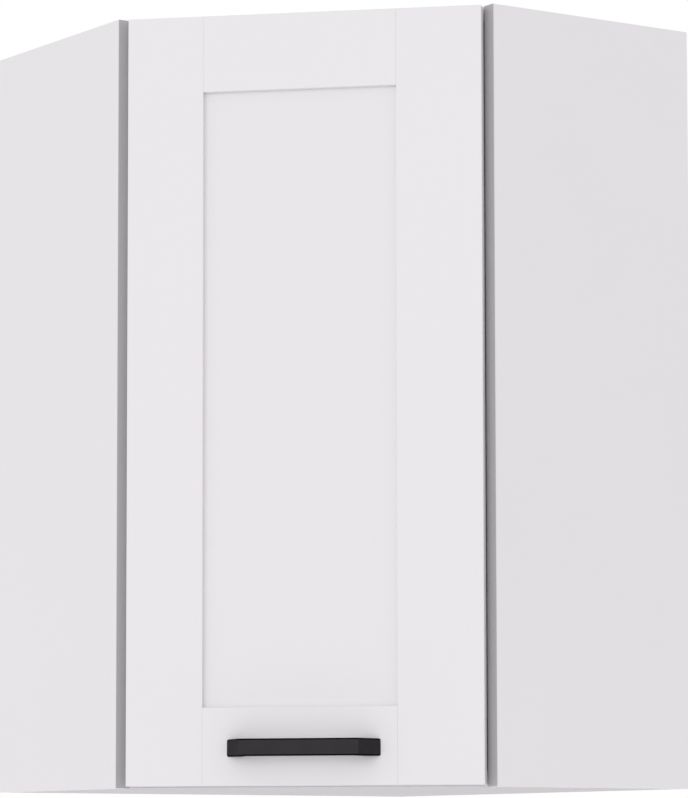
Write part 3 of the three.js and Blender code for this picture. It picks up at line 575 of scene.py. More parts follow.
class Stock:
    """A piece on the bench: one mesh object that the methods below shape, in millimetres."""

    def __init__(self, shape: bpy.types.Object, finish: Finish) -> None:
        """Takes a mesh object whose place is in its mesh.

        Args:
            shape: The object.
            finish: The finish that all of it starts with.
        """
        self.shape = shape
        self.finish = finish
        shape.data.materials.clear()
        shape.data.materials.append(finish.material())

    @classmethod
    def primitive(cls, name: str, finish: Finish) -> "Stock":
        """Takes the primitive that was just added, and puts its place and size into its mesh."""
        shape = bpy.context.object
        shape.name = shape.data.name = name
        bpy.ops.object.transform_apply(location=True, rotation=True, scale=True)
        return cls(shape, finish)

    @classmethod
    def block(cls, name: str, low: Point, high: Point, finish: Finish) -> "Stock":
        """A cube primitive at its size and place, to be shaped.

        Args:
            name: The piece's name.
            low: Its lowest corner.
            high: Its highest corner.
            finish: Its finish.

        Returns:
            The piece.
        """
        low, high = Vector(low) * MM, Vector(high) * MM
        select_only()
        bpy.ops.mesh.primitive_cube_add(size=1.0, location=(low + high) / 2)
        bpy.context.object.scale = high - low
        return cls.primitive(name, finish)

    @classmethod
    def rod(
        cls, name: str, axis: Axis, radius: float, start: Point, length: float, finish: Finish, sides: int
    ) -> "Stock":
        """A cylinder primitive from a point along an axis, to be shaped.

        Args:
            name: The piece's name.
            axis: The axis that it lies along.
            radius: Its radius.
            start: The middle of its first end.
            length: Its length; a negative one runs back along the axis.
            finish: Its finish.
            sides: How many sides it has.

        Returns:
            The piece.
        """
        along = Vector([float(axis is other) for other in Axis])
        middle = (Vector(start) + along * (length / 2)) * MM
        select_only()
        bpy.ops.mesh.primitive_cylinder_add(
            vertices=sides, radius=radius * MM, depth=abs(length) * MM, location=middle, rotation=axis.value
        )
        return cls.primitive(name, finish)

    @classmethod
    def copied_node(cls, name: str, node: str, finish: Finish) -> "Stock":
        """A copy of a CAD node, merged and cleaned, to be shaped further.

        Args:
            name: The piece's name.
            node: The CAD node.
            finish: Its finish.

        Returns:
            The piece.
        """
        source = bpy.data.objects[node]
        shape = bpy.data.objects.new(name, source.data.copy())
        shape.data.name = name
        bpy.context.scene.collection.objects.link(shape)

        def clean() -> None:
            """Merges what meets, and joins flat faces."""
            bpy.ops.mesh.remove_doubles(threshold=0.001 * MM)
            bpy.ops.mesh.dissolve_limited(angle_limit=math.radians(0.5))

        return cls(shape, finish).edit(clean)

    def copied(self, name: str) -> "Stock":
        """Another piece like this one, with a mesh of its own."""
        shape = self.shape.copy()
        shape.data = self.shape.data.copy()
        shape.name = shape.data.name = name
        bpy.context.scene.collection.objects.link(shape)
        twin = Stock.__new__(Stock)
        twin.shape, twin.finish = shape, self.finish
        return twin

    def edit(self, work: Callable[[], object]) -> "Stock":
        """Runs operators in edit mode on the whole mesh.

        Args:
            work: Calls the operators.

        Returns:
            This piece.
        """
        select_only(self.shape)
        bpy.ops.object.mode_set(mode="EDIT")
        bpy.ops.mesh.select_mode(type="FACE")
        bpy.ops.mesh.select_all(action="SELECT")
        work()
        bpy.ops.object.mode_set(mode="OBJECT")
        return self

    def pick(self, test: FaceTest) -> int:
        """Selects the faces that pass a test; works in edit mode.

        Args:
            test: Gets a face's middle, in millimetres, and its normal.

        Returns:
            How many faces are selected.
        """
        mesh = bmesh.from_edit_mesh(self.shape.data)
        for face in mesh.faces:
            face.select_set(bool(test(face.calc_center_median() / MM, face.normal)))
        mesh.select_flush_mode()
        bmesh.update_edit_mesh(self.shape.data)
        return sum(face.select for face in mesh.faces)

    def sliced(self, point: Point, normal: Point) -> "Stock":
        """Cuts off what lies in front of a plane and closes the cut.

        Args:
            point: A point of the plane.
            normal: The side that goes.

        Returns:
            This piece.
        """
        place, side = Vector(point) * MM, Vector(normal).normalized()
        settings = {"plane_co": place, "plane_no": side, "use_fill": True, "clear_outer": True}
        return self.edit(lambda: bpy.ops.mesh.bisect(**settings))

    def modified(self, kind: str, **settings: object) -> "Stock":
        """Adds a modifier and applies it.

        Args:
            kind: Blender's name of the modifier's type.
            settings: Its properties.

        Returns:
            This piece.
        """
        select_only(self.shape)
        modifier = self.shape.modifiers.new(kind.lower(), kind)
        for name, setting in settings.items():
            setattr(modifier, name, setting)
        bpy.ops.object.modifier_apply(modifier=modifier.name)
        return self

    def cut(self, cutters: Iterable["Stock"]) -> "Stock":
        """Takes other pieces out of this one; they may not overlap each other.

        Args:
            cutters: The pieces, which are used up; the cut faces take their finish.

        Returns:
            This piece.
        """
        shapes = [cutter.shape for cutter in cutters]
        select_only(*shapes)
        if len(shapes) > 1:
            bpy.ops.object.join()
        tool = shapes[0]
        self.modified(
            "BOOLEAN", operation="DIFFERENCE", solver="EXACT", object=tool, material_mode="TRANSFER"
        )
        bpy.data.objects.remove(tool)
        return self

    def rounded(self, width: float, segments: int = 2, angle: float = SHARP) -> "Stock":
        """Rounds the sharp edges.

        Args:
            width: The width of the rounding.
            segments: Its steps.
            angle: Edges sharper than this many degrees are rounded.

        Returns:
            This piece.
        """
        limit = {"limit_method": "ANGLE", "angle_limit": math.radians(angle)}
        return self.modified("BEVEL", width=width * MM, segments=segments, **limit)

    def painted(self, finish: Finish, test: FaceTest, inset: float = 0.0) -> "Stock":
        """Gives some faces another finish.

        Args:
            finish: The finish.
            test: Picks the faces.
            inset: A margin round the picked faces that keeps its own finish.

        Returns:
            This piece.
        """
        materials = self.shape.data.materials
        material = finish.material()
        if material.name not in materials:
            materials.append(material)
        index = materials.find(material.name)

        def work() -> None:
            """Picks, insets and paints the faces."""
            if not self.pick(test):
                return
            if inset:
                bpy.ops.mesh.inset(thickness=inset * MM, depth=0.0, use_even_offset=True)
            mesh = bmesh.from_edit_mesh(self.shape.data)
            for face in mesh.faces:
                if face.select:
                    face.material_index = index
            bmesh.update_edit_mesh(self.shape.data)

        return self.edit(work)

    def moved(self, place: Matrix) -> "Stock":
        """Puts the mesh in another place, and turns its faces back outwards where that mirrors it."""
        self.shape.data.transform(place)
        if place.determinant() < 0:
            self.shape.data.flip_normals()
        return self

    def done(self, body: Body, *nodes: str) -> None:
        """Smooths the piece, lets it ride on its body and hides the CAD nodes that it stands for.

        Args:
            body: The body that it moves with.
            nodes: The CAD nodes that it replaces.
        """
        select_only(self.shape)
        bpy.ops.object.shade_smooth_by_angle(angle=math.radians(40.0))
        self.modified("WEIGHTED_NORMAL", keep_sharp=True, weight=80)
        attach(self.shape, body.value)
        if nodes:
            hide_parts(*nodes)
        LOG.info("%s: %d faces, on the %s", self.shape.name, len(self.shape.data.polygons), body.value)


def dress(name: str, node: str, finish: Finish, width: float, segments: int, body: Body) -> None:
    """Puts a rounded copy of a CAD node in the node's place.

    Args:
        name: The copy's name.
        node: The CAD node.
        finish: The copy's finish.
        width: The width of the rounding.
        segments: Its steps.
        body: The body that it moves with.
    """
    Stock.copied_node(name, node, finish).rounded(width, segments).done(body, node)


# ----------------------------------------------------------------------------------------- carcase
@dataclass
class Carcase:
    """The five-sided box: two sides, two end boards, two backs, the corner post, and its cam fittings."""

    groove_depth: float = 6.0
    play: float = 0.3
    band: float = 0.5
    band_arris: float = 0.4
    arris: float = 0.35
    skin: float = 0.3  # of facing round a raw rear edge
    back_reach: float = 5.5  # of a back panel into its grooves
    back_arris: float = 0.2
    post_corner: float = 290.0
    pin_from_edge: float = 30.0
    pin_drop: float = 3.0  # of a shelf pin's middle below its shelf
    spare_holes: int = 4
    hole_pitch: float = 32.0
    hole_radius: float = 2.5
    hole_depth: float = 11.0
    used_radius: float = 2.8
    used_depth: float = 8.3
    plate_column: float = -51.0
    plate_screw: float = 16.0  # above and below the hinge's middle
    plate_hole_radius: float = 3.4
    plate_hole_depth: float = 8.3
    cam_places: tuple[Point, Point] = ((-74.0, -258.0), (-205.0, -258.0))
    cam_radius: float = 7.5
    cam_depth: float = 12.0
    cam_arris: float = 0.4
    driver_depth: float = 2.2
    driver_arm: float = 4.6
    driver_half: float = 0.8
    arrow_length: float = 1.6
    arrow_half: float = 0.7
    window_low: tuple[float, float] = (-281.0, 851.0)
    window_high: tuple[float, float] = (-265.0, 873.0)
    rear: float = 0.999  # how squarely a face looks back to count as a rear one

    def groove(self, y0: float, y1: float, z0: float, z1: float) -> Stock:
        """A cutter for the groove that holds the left back."""
        low, high = (PLAN.back_rear - self.play, y0, z0), (PLAN.back_face + self.play, y1, z1)
        return Stock.block("groove", low, high, BOARD_CORE)

    def pin_holes(self, axis: Axis, start: Callable[[float], Point]) -> list[Stock]:
        """Cutters for the rows of shelf pin holes that run back along an axis from a face.

        Args:
            axis: The axis that the holes lie along.
            start: Gives a point just in front of the face, from a height.

        Returns:
            The cutters.
        """
        holes = []
        for bottom in PLAN.shelf_bottoms:
            for step in range(-self.spare_holes, self.spare_holes + 1):
                used = step == 0
                radius = self.used_radius if used else self.hole_radius
                depth = self.used_depth if used else self.hole_depth
                place = start(bottom - self.pin_drop + step * self.hole_pitch)
                holes.append(Stock.rod("hole", axis, radius, place, -(depth + PAST), BOARD_CORE, 16))
        return holes

    def side(self, name: str, hinged: bool) -> Stock:
        """A side as it stands on the left, short of its front edging.

        Args:
            name: The piece's name.
            hinged: Whether it has the hinge plates' holes.

        Returns:
            The piece.
        """
        high = (PLAN.front - self.band, -PLAN.inner, PLAN.height)
        side = Stock.block(name, (-PLAN.half, -PLAN.half, 0.0), high, WHITE_BOARD)
        face = -PLAN.inner + PAST
        pin_column = PLAN.front - PLAN.shelf_setback * ROOT2 - self.pin_from_edge
        cutters = self.pin_holes(Axis.Y, lambda z: (pin_column, face, z))
        cutters.append(self.groove(-PLAN.inner - self.groove_depth, face, -PAST, PLAN.height + PAST))
        if hinged:
            depth = -(self.plate_hole_depth + PAST)
            for middle in PLAN.hinge_heights.values():
                for z in (middle - self.plate_screw, middle + self.plate_screw):
                    start = (self.plate_column, face, z)
                    cutters.append(
                        Stock.rod("hole", Axis.Y, self.plate_hole_radius, start, depth, BOARD_CORE, 16)
                    )
        side.cut(cutters).rounded(self.arris)
        side.painted(WHITE_EDGE, facing(z=1.0)).painted(WHITE_EDGE, facing(z=-1.0))
        return side.painted(BOARD_CORE, facing(x=-1.0, limit=self.rear), inset=self.skin)

    def side_edging(self, name: str) -> Stock:
        """The plastic edging on the front edge of the left side, rounded over at its corners; its grey is
        painted shade for the wedge beside the door.
        """
        low = (PLAN.front - self.band, -PLAN.half, 0.0)
        # painted shade: the grey edging stands in for the shade beside the door
        edging = Stock.block(name, low, (PLAN.front, -PLAN.inner, PLAN.height), PAINTED_SHADE_EDGE)

        def work() -> None:
            """Rounds the two long front edges, and no other."""
            bpy.ops.mesh.select_mode(type="EDGE")
            bpy.ops.mesh.select_all(action="DESELECT")
            mesh = bmesh.from_edit_mesh(edging.shape.data)
            for edge in mesh.edges:
                ends = [vertex.co / MM for vertex in edge.verts]
                upright = abs(ends[0].z - ends[1].z) > NEAR
                edge.select_set(upright and all(abs(end.x - PLAN.front) < NEAR for end in ends))
            bmesh.update_edit_mesh(edging.shape.data)
            bpy.ops.mesh.bevel(offset=self.band_arris * MM, segments=3, affect="EDGES")

        return edging.edit(work)

    def inner_face(self, end: End) -> tuple[float, float]:
        """The height of an end board's inner face, and 1 or -1 for the way inward from it."""
        return (PLAN.board, 1.0) if end is End.BOTTOM else (PLAN.height - PLAN.board, -1.0)

    def end_board(self, name: str, end: End) -> Stock:
        """The bottom or top board: a square cut across its front corner, grooved for the backs.

        Args:
            name: The piece's name.
            end: Which of the two it is.

        Returns:
            The piece.
        """
        face, inward = self.inner_face(end)
        z0, z1 = sorted((face, face - inward * PLAN.board))
        low, high = (-PLAN.half, -PLAN.inner, z0), (PLAN.inner, PLAN.half, z1)
        board = Stock.block(name, low, high, WHITE_BOARD)
        board.sliced((PLAN.board_front, 0.0, z0), (1.0, -1.0, 0.0))
        deep, clear = sorted((face - inward * self.groove_depth, face + inward * PAST))
        left = self.groove(-PLAN.inner - PAST, PLAN.post_edge + self.groove_depth, deep, clear)
        cutters = [left, left.copied("groove").moved(OTHER_WALL)]
        for x, y in self.cam_places:
            start = (x, y, face + inward * PAST)
            depth = -inward * (self.cam_depth + self.play + PAST)
            bore = Stock.rod("bore", Axis.Z, self.cam_radius + self.play, start, depth, BOARD_CORE, 32)
            cutters += [bore, bore.copied("bore").moved(OTHER_WALL)]
        board.cut(cutters).rounded(self.arris)
        board.painted(WHITE_EDGE, facing(x=1.0, y=-1.0))
        edge = PLAN.half - PAST
        for finish, inset, test in (
            # painted shade on the bottom board's underside, which faces down
            (UNDERSIDE_PAINTED_SHADE, 0.0, lambda middle, normal: normal.z < -self.rear and middle.z < PAST),
            (BOARD_CORE, self.skin, lambda middle, normal: normal.x < -self.rear and middle.x < -edge),
            (BOARD_CORE, self.skin, lambda middle, normal: normal.y > self.rear and middle.y > edge),
        ):
            board.painted(finish, test, inset)
        return board

    def back(self, name: str) -> Stock:
        """The left back panel: white inside, bare brown behind, with a window for the hanger's hook."""
        reach = self.back_reach
        low = (PLAN.back_rear, -PLAN.inner - reach, PLAN.board - reach)
        high = (PLAN.back_face, PLAN.post_edge + reach, PLAN.height - PLAN.board + reach)
        sheet = Stock.block(name, low, high, BACK_BROWN)
        through = (PLAN.back_rear - PAST, PLAN.back_face + PAST)
        window = [(x, *corner) for x, corner in zip(through, (self.window_low, self.window_high))]
        sheet.cut([Stock.block("window", *window, BACK_BROWN)])
        return sheet.rounded(self.back_arris, 1).painted(BACK_WHITE, facing(x=1.0))

    def post_strip(self, name: str, corner: float) -> Stock:
        """A strip of the corner post as it stands on the left.

        Args:
            name: The piece's name.
            corner: Its far edge, at the room's corner.

        Returns:
            The piece.
        """
        face, edge = PLAN.post_face, PLAN.post_edge
        high = (face, corner, PLAN.height - PLAN.board)
        strip = Stock.block(name, (PLAN.post_rear, edge, PLAN.board), high, WHITE_BOARD)
        cutters = self.pin_holes(Axis.X, lambda z: (face + PAST, edge + self.pin_from_edge, z))
        cutters.append(self.groove(edge - PAST, edge + self.groove_depth, 0.0, PLAN.height))
        strip.cut(cutters).rounded(self.arris)
        return strip.painted(WHITE_EDGE, facing(y=-1.0, limit=self.rear))

    def cam(self, name: str, end: End, place: Point) -> Stock:
        """A cam fitting near the left side, with its driver cross and arrow notch.

        Args:
            name: The piece's name.
            end: The board that it sits in.
            place: Its place in plan.

        Returns:
            The piece.
        """
        face, inward = self.inner_face(end)
        x, y = place
        depth = -inward * self.cam_depth
        disc = Stock.rod(name, Axis.Z, self.cam_radius, (x, y, face), depth, CAST_ZINC, 40)
        disc.rounded(self.cam_arris)
        low, high = sorted((face - inward * self.driver_depth, face + inward * PAST))
        rim = self.cam_radius
        for x0, x1, half in (
            (-self.driver_arm, self.driver_arm, self.driver_half),
            (-self.driver_half, self.driver_half, self.driver_arm),
            (rim - self.arrow_length, rim + PAST, self.arrow_half),
        ):
            disc.cut([Stock.block("slot", (x + x0, y - half, low), (x + x1, y + half, high), CAST_ZINC)])
        return disc

    def build(self) -> None:
        """Makes the whole carcase."""
        body = Body.CABINET
        self.side("left_side", True).done(body, "side_left")
        self.side("right_side", False).moved(OTHER_WALL).done(body, "side_right")
        edging = self.side_edging("left_side_edging")
        edging.copied("right_side_edging").moved(OTHER_WALL).done(body)
        edging.done(body)
        self.end_board("base_board", End.BOTTOM).done(body, "bottom_board")
        self.end_board("lid_board", End.TOP).done(body, "top_board")
        back = self.back("left_back")
        back.copied("right_back").moved(OTHER_WALL).done(body, "back_right")
        back.done(body, "back_left")
        self.post_strip("left_post_strip", self.post_corner).done(body, "corner_post_left")
        right = self.post_strip("right_post_strip", -PLAN.post_face)
        right.moved(OTHER_WALL).done(body, "corner_post_right")
        uses = ("cam", "rear_cam")
        for end in End:
            left = [
                self.cam(f"{end.value}_{use}_left", end, place) for use, place in zip(uses, self.cam_places)
            ]
            right = [
                cam.copied(f"{end.value}_{use}_right").moved(OTHER_WALL) for use, cam in zip(uses, left)
            ]
            for side, cams in (("left", left), ("right", right)):
                for cam, nodes in zip(cams, ([f"cam_{end.value}_{side}"], [])):
                    cam.done(body, *nodes)


@dataclass
class Shelving:
    """Two loose shelves and the pins that they rest on."""

    slack: float = 1.0
    arris: float = 0.4

    def shelf(self, name: str, z0: float) -> Stock:
        """A shelf: a square cut across its front corner and notched round the corner post.

        Args:
            name: The piece's name.
            z0: The height of its underside.

        Returns:
            The piece.
        """
        z1 = z0 + PLAN.board
        side, edge = PLAN.inner - self.slack, -PLAN.back_face - self.slack
        near, deep = PLAN.post_edge - self.slack, -PLAN.post_face - self.slack
        board = Stock.block(name, (-edge, -side, z0), (side, edge, z1), WHITE_BOARD)
        board.sliced((PLAN.shelf_front, 0.0, z0), (1.0, -1.0, 0.0))
        far = edge + PAST
        for y0, x1 in ((deep, -near), (near, -deep)):
            low, high = (-far, y0, z0 - PAST), (x1, far, z1 + PAST)
            board.cut([Stock.block("notch", low, high, BOARD_CORE)])
        return board.rounded(self.arris).painted(WHITE_EDGE, facing(x=1.0, y=-1.0))

    def build(self) -> None:
        """Makes the shelves, and dresses their pins."""
        for level, z0 in zip(("lower", "upper"), PLAN.shelf_bottoms):
            self.shelf(f"{level}_shelf", z0).done(Body.CABINET, f"shelf_{level}")
            for spot in ("side_left", "side_right", "post_left", "post_right"):
                node = f"shelf_pin_{level}_{spot}"
                dress(f"{level}_pin_{spot}", node, PLATED_STEEL, self.arris, 2, Body.CABINET)


@dataclass
class WallHangers:
    """The two adjustable hangers: housing, hook and adjusting screws."""

    housing_arris: float = 0.8
    hook_arris: float = 0.5
    screw_arris: float = 0.15

    def build(self) -> None:
        """Makes both hangers from their CAD nodes."""
        for wall in (wall.value for wall in Wall):
            for name, node, finish, width, segments in (
                ("hanger", "hanger_housing", WHITE_PLASTIC, self.housing_arris, 3),
                ("hook", "hanger_hook", HOOK_STEEL, self.hook_arris, 3),
                ("hanger_height_screw", "hanger_height_screw", SCREW_STEEL, self.screw_arris, 1),
                ("hanger_depth_screw", "hanger_depth_screw", SCREW_STEEL, self.screw_arris, 1),
            ):
                dress(f"{wall}_{name}", f"{node}_{wall}", finish, width, segments, Body.CABINET)


@dataclass
class Hinges:
    """Two cup hinges: on the door the cup, pin and screws, on the side the arm, plate and screws."""

    flange_half: float = 31.0
    flange_corner: float = 7.0
    flange_least: float = 0.2  # the flange's thickness lies between these two
    flange_most: float = 2.0
    arm_arris: float = 0.35
    plate_arris: float = 0.5
    cup_arris: float = 0.3
    screw_arris: float = 0.15
    cup_screw_arris: float = 0.12

    def round_flange(self, cup: Stock, middle: float) -> None:
        """Rounds the four corners of the cup's flange.

        Args:
            cup: The cup, in its place on the door.
            middle: Its height.
        """
        cup.moved(DOOR_PLACE.inverted())
        mesh = bmesh.new()
        mesh.from_mesh(cup.shape.data)
        corners = []
        for edge in mesh.edges:
            first, second = (vertex.co / MM for vertex in edge.verts)
            length = (first - second).length
            at_end = all(abs(abs(end.z - middle) - self.flange_half) < NEAR for end in (first, second))
            through = abs(first.y - second.y) > 0.9 * length
            if at_end and through and self.flange_least < length < self.flange_most:
                corners.append(edge)
        bmesh.ops.bevel(
            mesh, geom=corners, offset=self.flange_corner * MM, segments=6, profile=0.5, affect="EDGES"
        )
        mesh.to_mesh(cup.shape.data)
        mesh.free()
        cup.moved(DOOR_PLACE)
        LOG.info("rounded %d corners of a flange", len(corners))

    def build(self) -> None:
        """Makes both hinges from their CAD nodes."""
        parts = (
            ("arm", Body.CABINET, PLATED_STEEL, self.arm_arris),
            ("plate", Body.CABINET, PLATE_STEEL, self.plate_arris),
            ("plate_screw_low", Body.CABINET, SCREW_STEEL, self.screw_arris),
            ("plate_screw_high", Body.CABINET, SCREW_STEEL, self.screw_arris),
            ("clamp_screw", Body.CABINET, SCREW_STEEL, self.screw_arris),
            ("adjuster_screw", Body.CABINET, SCREW_STEEL, self.screw_arris),
            ("cup", Body.DOOR, PLATED_STEEL, self.cup_arris),
            ("pin", Body.DOOR, SCREW_STEEL, self.screw_arris),
            ("cup_screw_low", Body.DOOR, SCREW_STEEL, self.cup_screw_arris),
            ("cup_screw_high", Body.DOOR, SCREW_STEEL, self.cup_screw_arris),
        )
        for level, height in PLAN.hinge_heights.items():
            for part, body, finish, width in parts:
                node = f"hinge_{level}_{part}"
                piece = Stock.copied_node(f"{level}_hinge_{part}", node, finish)
                if part == "cup":
                    self.round_flange(piece, height)
                piece.rounded(width).done(body, node)


# ----------------------------------------------------------------------------------------- door
def lying_at(x: float) -> EdgeTest:
    """A test for edges that lie in an upright plane across the door."""
    return lambda first, second: all(abs(end.x - x) < NEAR for end in (first, second))


@dataclass
class FramedDoor:
    """The door: two stiles, two rails and a recessed panel, with its bumpers."""

    left_stile: float = 90.0
    right_stile: float = 100.0
    rail: float = 90.0
    panel_inset: float = 7.0
    panel_thick: float = 6.0
    panel_reach: float = 8.5
    panel_arris: float = 0.3
    joint: float = 0.02
    arris: float = 0.9
    joint_arris: float = 0.3
    cup_from_edge: float = 21.0
    cup_radius: float = 17.8
    cup_depth: float = 13.3
    pilot_side: float = 9.5  # of a cup screw from the cup's middle, across the door
    pilot_rise: float = 24.0  # and above or below it
    pilot_radius: float = 2.05
    pilot_depth: float = 11.1
    bumper_radius: float = 4.0
    bumper_from_side: float = 12.0
    bumper_from_end: float = 7.0
    bumper_gap: float = 0.1
    bumper_thick: float = 2.8
    bumper_dome: float = 1.1

    @property
    def inner_left(self) -> float:
        """The left stile's inner edge."""
        return -PLAN.door_half + self.left_stile

    @property
    def inner_right(self) -> float:
        """The right stile's inner edge."""
        return PLAN.door_half - self.right_stile

    @property
    def ends(self) -> tuple[float, float]:
        """The heights of the door's bottom and top edges."""
        return PLAN.door_end_gap, PLAN.height - PLAN.door_end_gap

    def board(self, name: str, x: Point, z: Point) -> Stock:
        """A block of the door's full thickness.

        Args:
            name: The piece's name.
            x: Its left and right edges.
            z: Its bottom and top edges.

        Returns:
            The piece.
        """
        low, high = (x[0], PLAN.door_face, z[0]), (x[1], PLAN.door_back, z[1])
        return Stock.block(name, low, high, DOOR_WHITE)

    def hinge_holes(self, stile: Stock) -> None:
        """Bores the left stile for the hinges' cups and their screws."""
        column, rear = -PLAN.door_half + self.cup_from_edge, PLAN.door_back + PAST
        heights = PLAN.hinge_heights.values()
        cups = [(column, rear, z) for z in heights]
        rises = (-self.pilot_rise, self.pilot_rise)
        pilots = [(column + self.pilot_side, rear, z + rise) for z in heights for rise in rises]
        for name, radius, starts, depth, sides in (
            ("bore", self.cup_radius, cups, self.cup_depth, 48),
            ("pilot", self.pilot_radius, pilots, self.pilot_depth, 16),
        ):
            length = -(depth + PAST)
            stile.cut([Stock.rod(name, Axis.Y, radius, start, length, BOARD_CORE, sides) for start in starts])

    def softened(self, piece: Stock, at_joint: EdgeTest) -> Stock:
        """Rounds the long arrises fully and those at the joints barely.

        Args:
            piece: The stile or rail.
            at_joint: Tells, from an edge's two ends in millimetres, whether it lies at a joint.

        Returns:
            The piece.
        """
        mesh = bmesh.new()
        mesh.from_mesh(piece.shape.data)
        weights = mesh.edges.layers.float.new("bevel_weight_edge")
        for edge in mesh.edges:
            ends = [vertex.co / MM for vertex in edge.verts]
            if len(edge.link_faces) == 2 and edge.calc_face_angle(0.0) > math.radians(SHARP):
                edge[weights] = self.joint_arris / self.arris if at_joint(*ends) else 1.0
        mesh.to_mesh(piece.shape.data)
        mesh.free()
        return piece.modified("BEVEL", width=self.arris * MM, segments=3, limit_method="WEIGHT")

    def panel(self) -> Stock:
        """The recessed panel."""
        bottom, top = self.ends
        reach, face = self.panel_reach, PLAN.door_face + self.panel_inset
        low = (self.inner_left - reach, face, bottom + self.rail - reach)
        high = (self.inner_right + reach, face + self.panel_thick, top - self.rail + reach)
        return Stock.block("door_panel_sheet", low, high, PANEL_WHITE).rounded(self.panel_arris)

    def bumper(self, name: str, z: float) -> Stock:
        """A soft bumper: a clear dot, domed where it meets the carcase."""
        start = (PLAN.door_half - self.bumper_from_side, PLAN.door_back + self.bumper_gap, z)
        dot = Stock.rod(name, Axis.Y, self.bumper_radius, start, self.bumper_thick, CLEAR_RUBBER, 32)
        return dot.rounded(self.bumper_dome, 4, 2 * SHARP)

    def build(self) -> None:
        """Makes the door's wooden pieces and bumpers, square on, and turns them into place."""
        bottom, top = self.ends
        left = self.board("left_stile", (-PLAN.door_half, self.inner_left), self.ends)
        self.hinge_holes(left)
        right = self.board("right_stile", (self.inner_right, PLAN.door_half), self.ends)
        between = (self.inner_left + self.joint, self.inner_right - self.joint)
        across = lambda first, second: abs(first.x - second.x) < NEAR
        pieces = [
            (self.softened(left, lying_at(self.inner_left)), "door_stile_left"),
            (self.softened(right, lying_at(self.inner_right)), "door_stile_right"),
        ]
        for end, z0 in (("bottom", bottom), ("top", top - self.rail)):
            rail = self.board(f"{end}_rail", between, (z0, z0 + self.rail))
            pieces.append((self.softened(rail, across), f"door_rail_{end}"))
        pieces.append((self.panel(), "door_panel"))
        for end, z in (("bottom", bottom + self.bumper_from_end), ("top", top - self.bumper_from_end)):
            pieces.append((self.bumper(f"{end}_bumper", z), f"bumper_{end}"))
        for piece, node in pieces:
            piece.moved(DOOR_PLACE).done(Body.DOOR, node)


@dataclass
class BowHandle:
    """The dark bow handle: a flat bar on two slanting legs, and its two screws."""

    gap: float = 0.3  # between its feet and the door
    rise: float = 43.0  # above the door's bottom edge
    reach: float = 33.0
    end: float = 90.0
    slant: float = 20.5
    inner_foot: float = 71.0
    bar: float = 8.0
    height: float = 20.0
    arris: float = 1.7
    screw_arris: float = 0.15

    def bow(self) -> Stock:
        """The bar and legs in one piece: a block sliced at both ends and hollowed behind the bar."""
        foot = PLAN.door_face - self.gap
        front = foot - self.reach
        middle = PLAN.door_end_gap + self.rise
        low, high = middle - self.height / 2, middle + self.height / 2
        bow = Stock.block("bow_handle", (-self.end, front, low), (self.end, foot, high), HANDLE_BLACK)
        hollow_low = (-self.end, front + self.bar, low - PAST)
        hollow = Stock.block("hollow", hollow_low, (self.end, foot + PAST, high + PAST), HANDLE_BLACK)
        lean = self.slant / 2 / (self.reach - self.bar)
        for side in (-1.0, 1.0):
            bow.sliced((side * self.end, foot, 0.0), (side * self.reach, -self.slant, 0.0))
            hollow.sliced((side * self.inner_foot, foot, 0.0), (side, -lean, 0.0))
        bow.cut([hollow])
        return bow.rounded(self.arris, 3)

    def on_edge(self, middle: Vector, normal: Vector) -> bool:
        """Whether a face of the bow lies on its rounded edges or at its ends, where shade is painted near
        black.
        """
        return 0.12 < abs(normal.z) < 0.95 or abs(middle.x) > self.end - self.arris

    def on_leg(self, middle: Vector, normal: Vector) -> bool:
        """Whether a face of the bow is the front of a slanting leg, where shade is painted darker."""
        return abs(normal.x) > 0.5 and normal.y < -0.2

    def build(self) -> None:
        """Makes the handle and dresses its screws."""
        # painted shade: darker leg fronts and near-black rounded edges
        bow = self.bow().painted(HANDLE_LEG_PAINTED_SHADE, self.on_leg).painted(HANDLE_EDGE_PAINTED_SHADE, self.on_edge)
        bow.moved(DOOR_PLACE).done(Body.DOOR, "handle")
        for side in ("left", "right"):
            node = f"handle_screw_{side}"
            dress(f"{side}_handle_screw", node, SCREW_STEEL, self.screw_arris, 1, Body.DOOR)


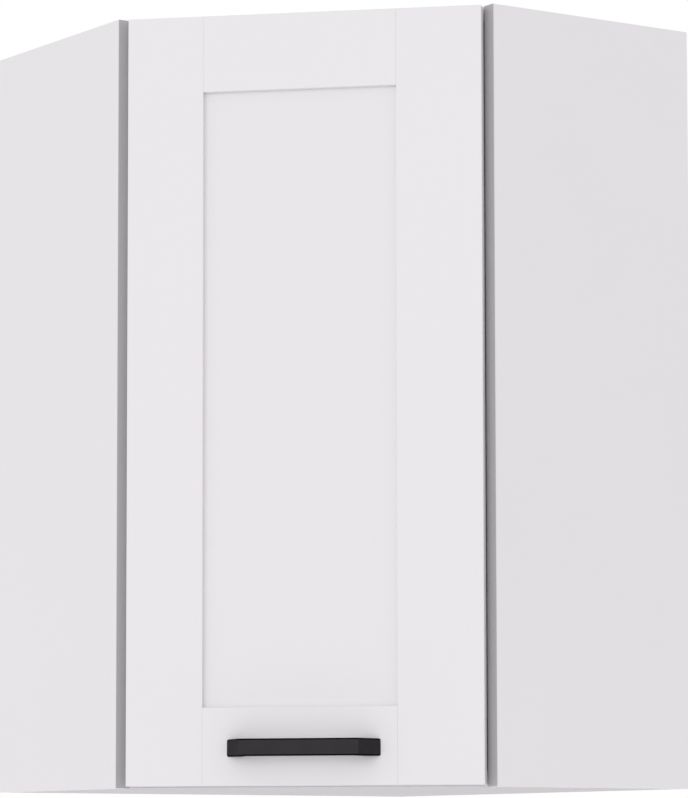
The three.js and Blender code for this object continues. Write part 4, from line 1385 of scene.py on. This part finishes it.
# ----------------------------------------------------------------------------------------- studio
@dataclass
class Studio:
    """The camera near the photograph's place, the floor, and soft light."""

    focal_px: float = 3964.1
    long_side_px: float = 798.0
    sensor: float = 36.0
    eye: Point = (3.9270, -2.6463, -0.0902)
    yaw: float = 55.941
    pitch: float = 5.589
    roll: float = -0.085
    shift: float = 0.10
    clip: Point = (0.05, 2000.0)
    floor_z: float = -8.0
    floor_size: float = 1200.0
    floor_colour: Colour = (0.9, 0.9, 0.9)
    floor_glow: float = 0.3
    white: Colour = (1.0, 1.0, 1.0)
    sky: float = 0.82
    key_light: tuple[Point, float, float] = ((0.53, -0.85, 0.0), 0.86, 50.0)
    rear_light: tuple[Point, float, float] = ((-0.5, 0.5, 0.4), 0.5, 60.0)

    def camera(self) -> None:
        """Puts the camera where the photograph's view is matched with a small lens shift."""
        data = bpy.data.cameras.new("photo_camera")
        data.sensor_width = self.sensor
        data.sensor_fit = "AUTO"
        data.lens = self.focal_px * self.sensor / self.long_side_px
        data.shift_y = self.shift
        data.clip_start, data.clip_end = self.clip
        camera = bpy.data.objects.new("photo_camera", data)
        bpy.context.scene.collection.objects.link(camera)
        turn = Matrix.Rotation(math.radians(self.yaw), 4, "Z")
        tilt = Matrix.Rotation(math.radians(90.0 + self.pitch), 4, "X")
        roll = Matrix.Rotation(math.radians(self.roll), 4, "Z")
        camera.matrix_world = Matrix.Translation(self.eye) @ turn @ tilt @ roll
        bpy.context.scene.camera = camera

    def floor(self) -> None:
        """A plain pale floor, well below the hanging cabinet, as white as the sky behind it."""
        select_only()
        bpy.ops.mesh.primitive_plane_add(size=self.floor_size, location=(0.0, 0.0, self.floor_z))
        floor = bpy.context.object
        floor.name = "pale_floor"
        recipe = Recipe("pale_floor")
        recipe.set(Base_Color=self.floor_colour, Roughness=0.9)
        recipe.set(Emission_Color=self.white, Emission_Strength=self.floor_glow)
        floor.data.materials.append(recipe.material)
        floor.visible_diffuse = False

    def sun(self, name: str, direction: Point, strength: float, softness: float) -> None:
        """A soft light from far away.

        Args:
            name: The light's name.
            direction: Where it stands, seen from the cabinet.
            strength: Its strength.
            softness: Its width in the sky, in degrees.
        """
        data = bpy.data.lights.new(name, "SUN")
        data.energy, data.angle = strength, math.radians(softness)
        light = bpy.data.objects.new(name, data)
        bpy.context.scene.collection.objects.link(light)
        light.rotation_mode = "QUATERNION"
        light.rotation_quaternion = Vector(direction).to_track_quat("Z", "Y")

    def world(self) -> None:
        """An even sky that lights the cabinet softly, and is white where the camera sees it."""
        world = bpy.data.worlds.new("soft_sky")
        bpy.context.scene.world = world
        world.use_nodes = True
        tree = world.node_tree
        tree.nodes.clear()
        path, mix = tree.nodes.new("ShaderNodeLightPath"), tree.nodes.new("ShaderNodeMixShader")
        tree.links.new(path.outputs["Is Camera Ray"], mix.inputs[0])
        for place, strength in ((1, self.sky), (2, 1.0)):
            background = tree.nodes.new("ShaderNodeBackground")
            background.inputs["Color"].default_value = (*self.white, 1.0)
            background.inputs["Strength"].default_value = strength
            tree.links.new(background.outputs[0], mix.inputs[place])
        output = tree.nodes.new("ShaderNodeOutputWorld")
        tree.links.new(mix.outputs[0], output.inputs["Surface"])

    def build(self) -> None:
        """Sets up the whole studio."""
        self.camera()
        self.floor()
        self.sun("key_light", *self.key_light)
        self.sun("rear_light", *self.rear_light)
        self.world()
        bpy.context.scene.view_settings.view_transform = "Standard"
        LOG.info("studio ready, lens %.1f mm", bpy.context.scene.camera.data.lens)


def main() -> None:
    """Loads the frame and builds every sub-assembly round it."""
    logging.basicConfig(level=logging.INFO, format="%(name)s: %(message)s")
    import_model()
    Studio().build()
    for assembly in (Carcase(), Shelving(), WallHangers(), Hinges(), FramedDoor(), BowHandle()):
        assembly.build()
    select_only()


if __name__ == "__main__":
    main()
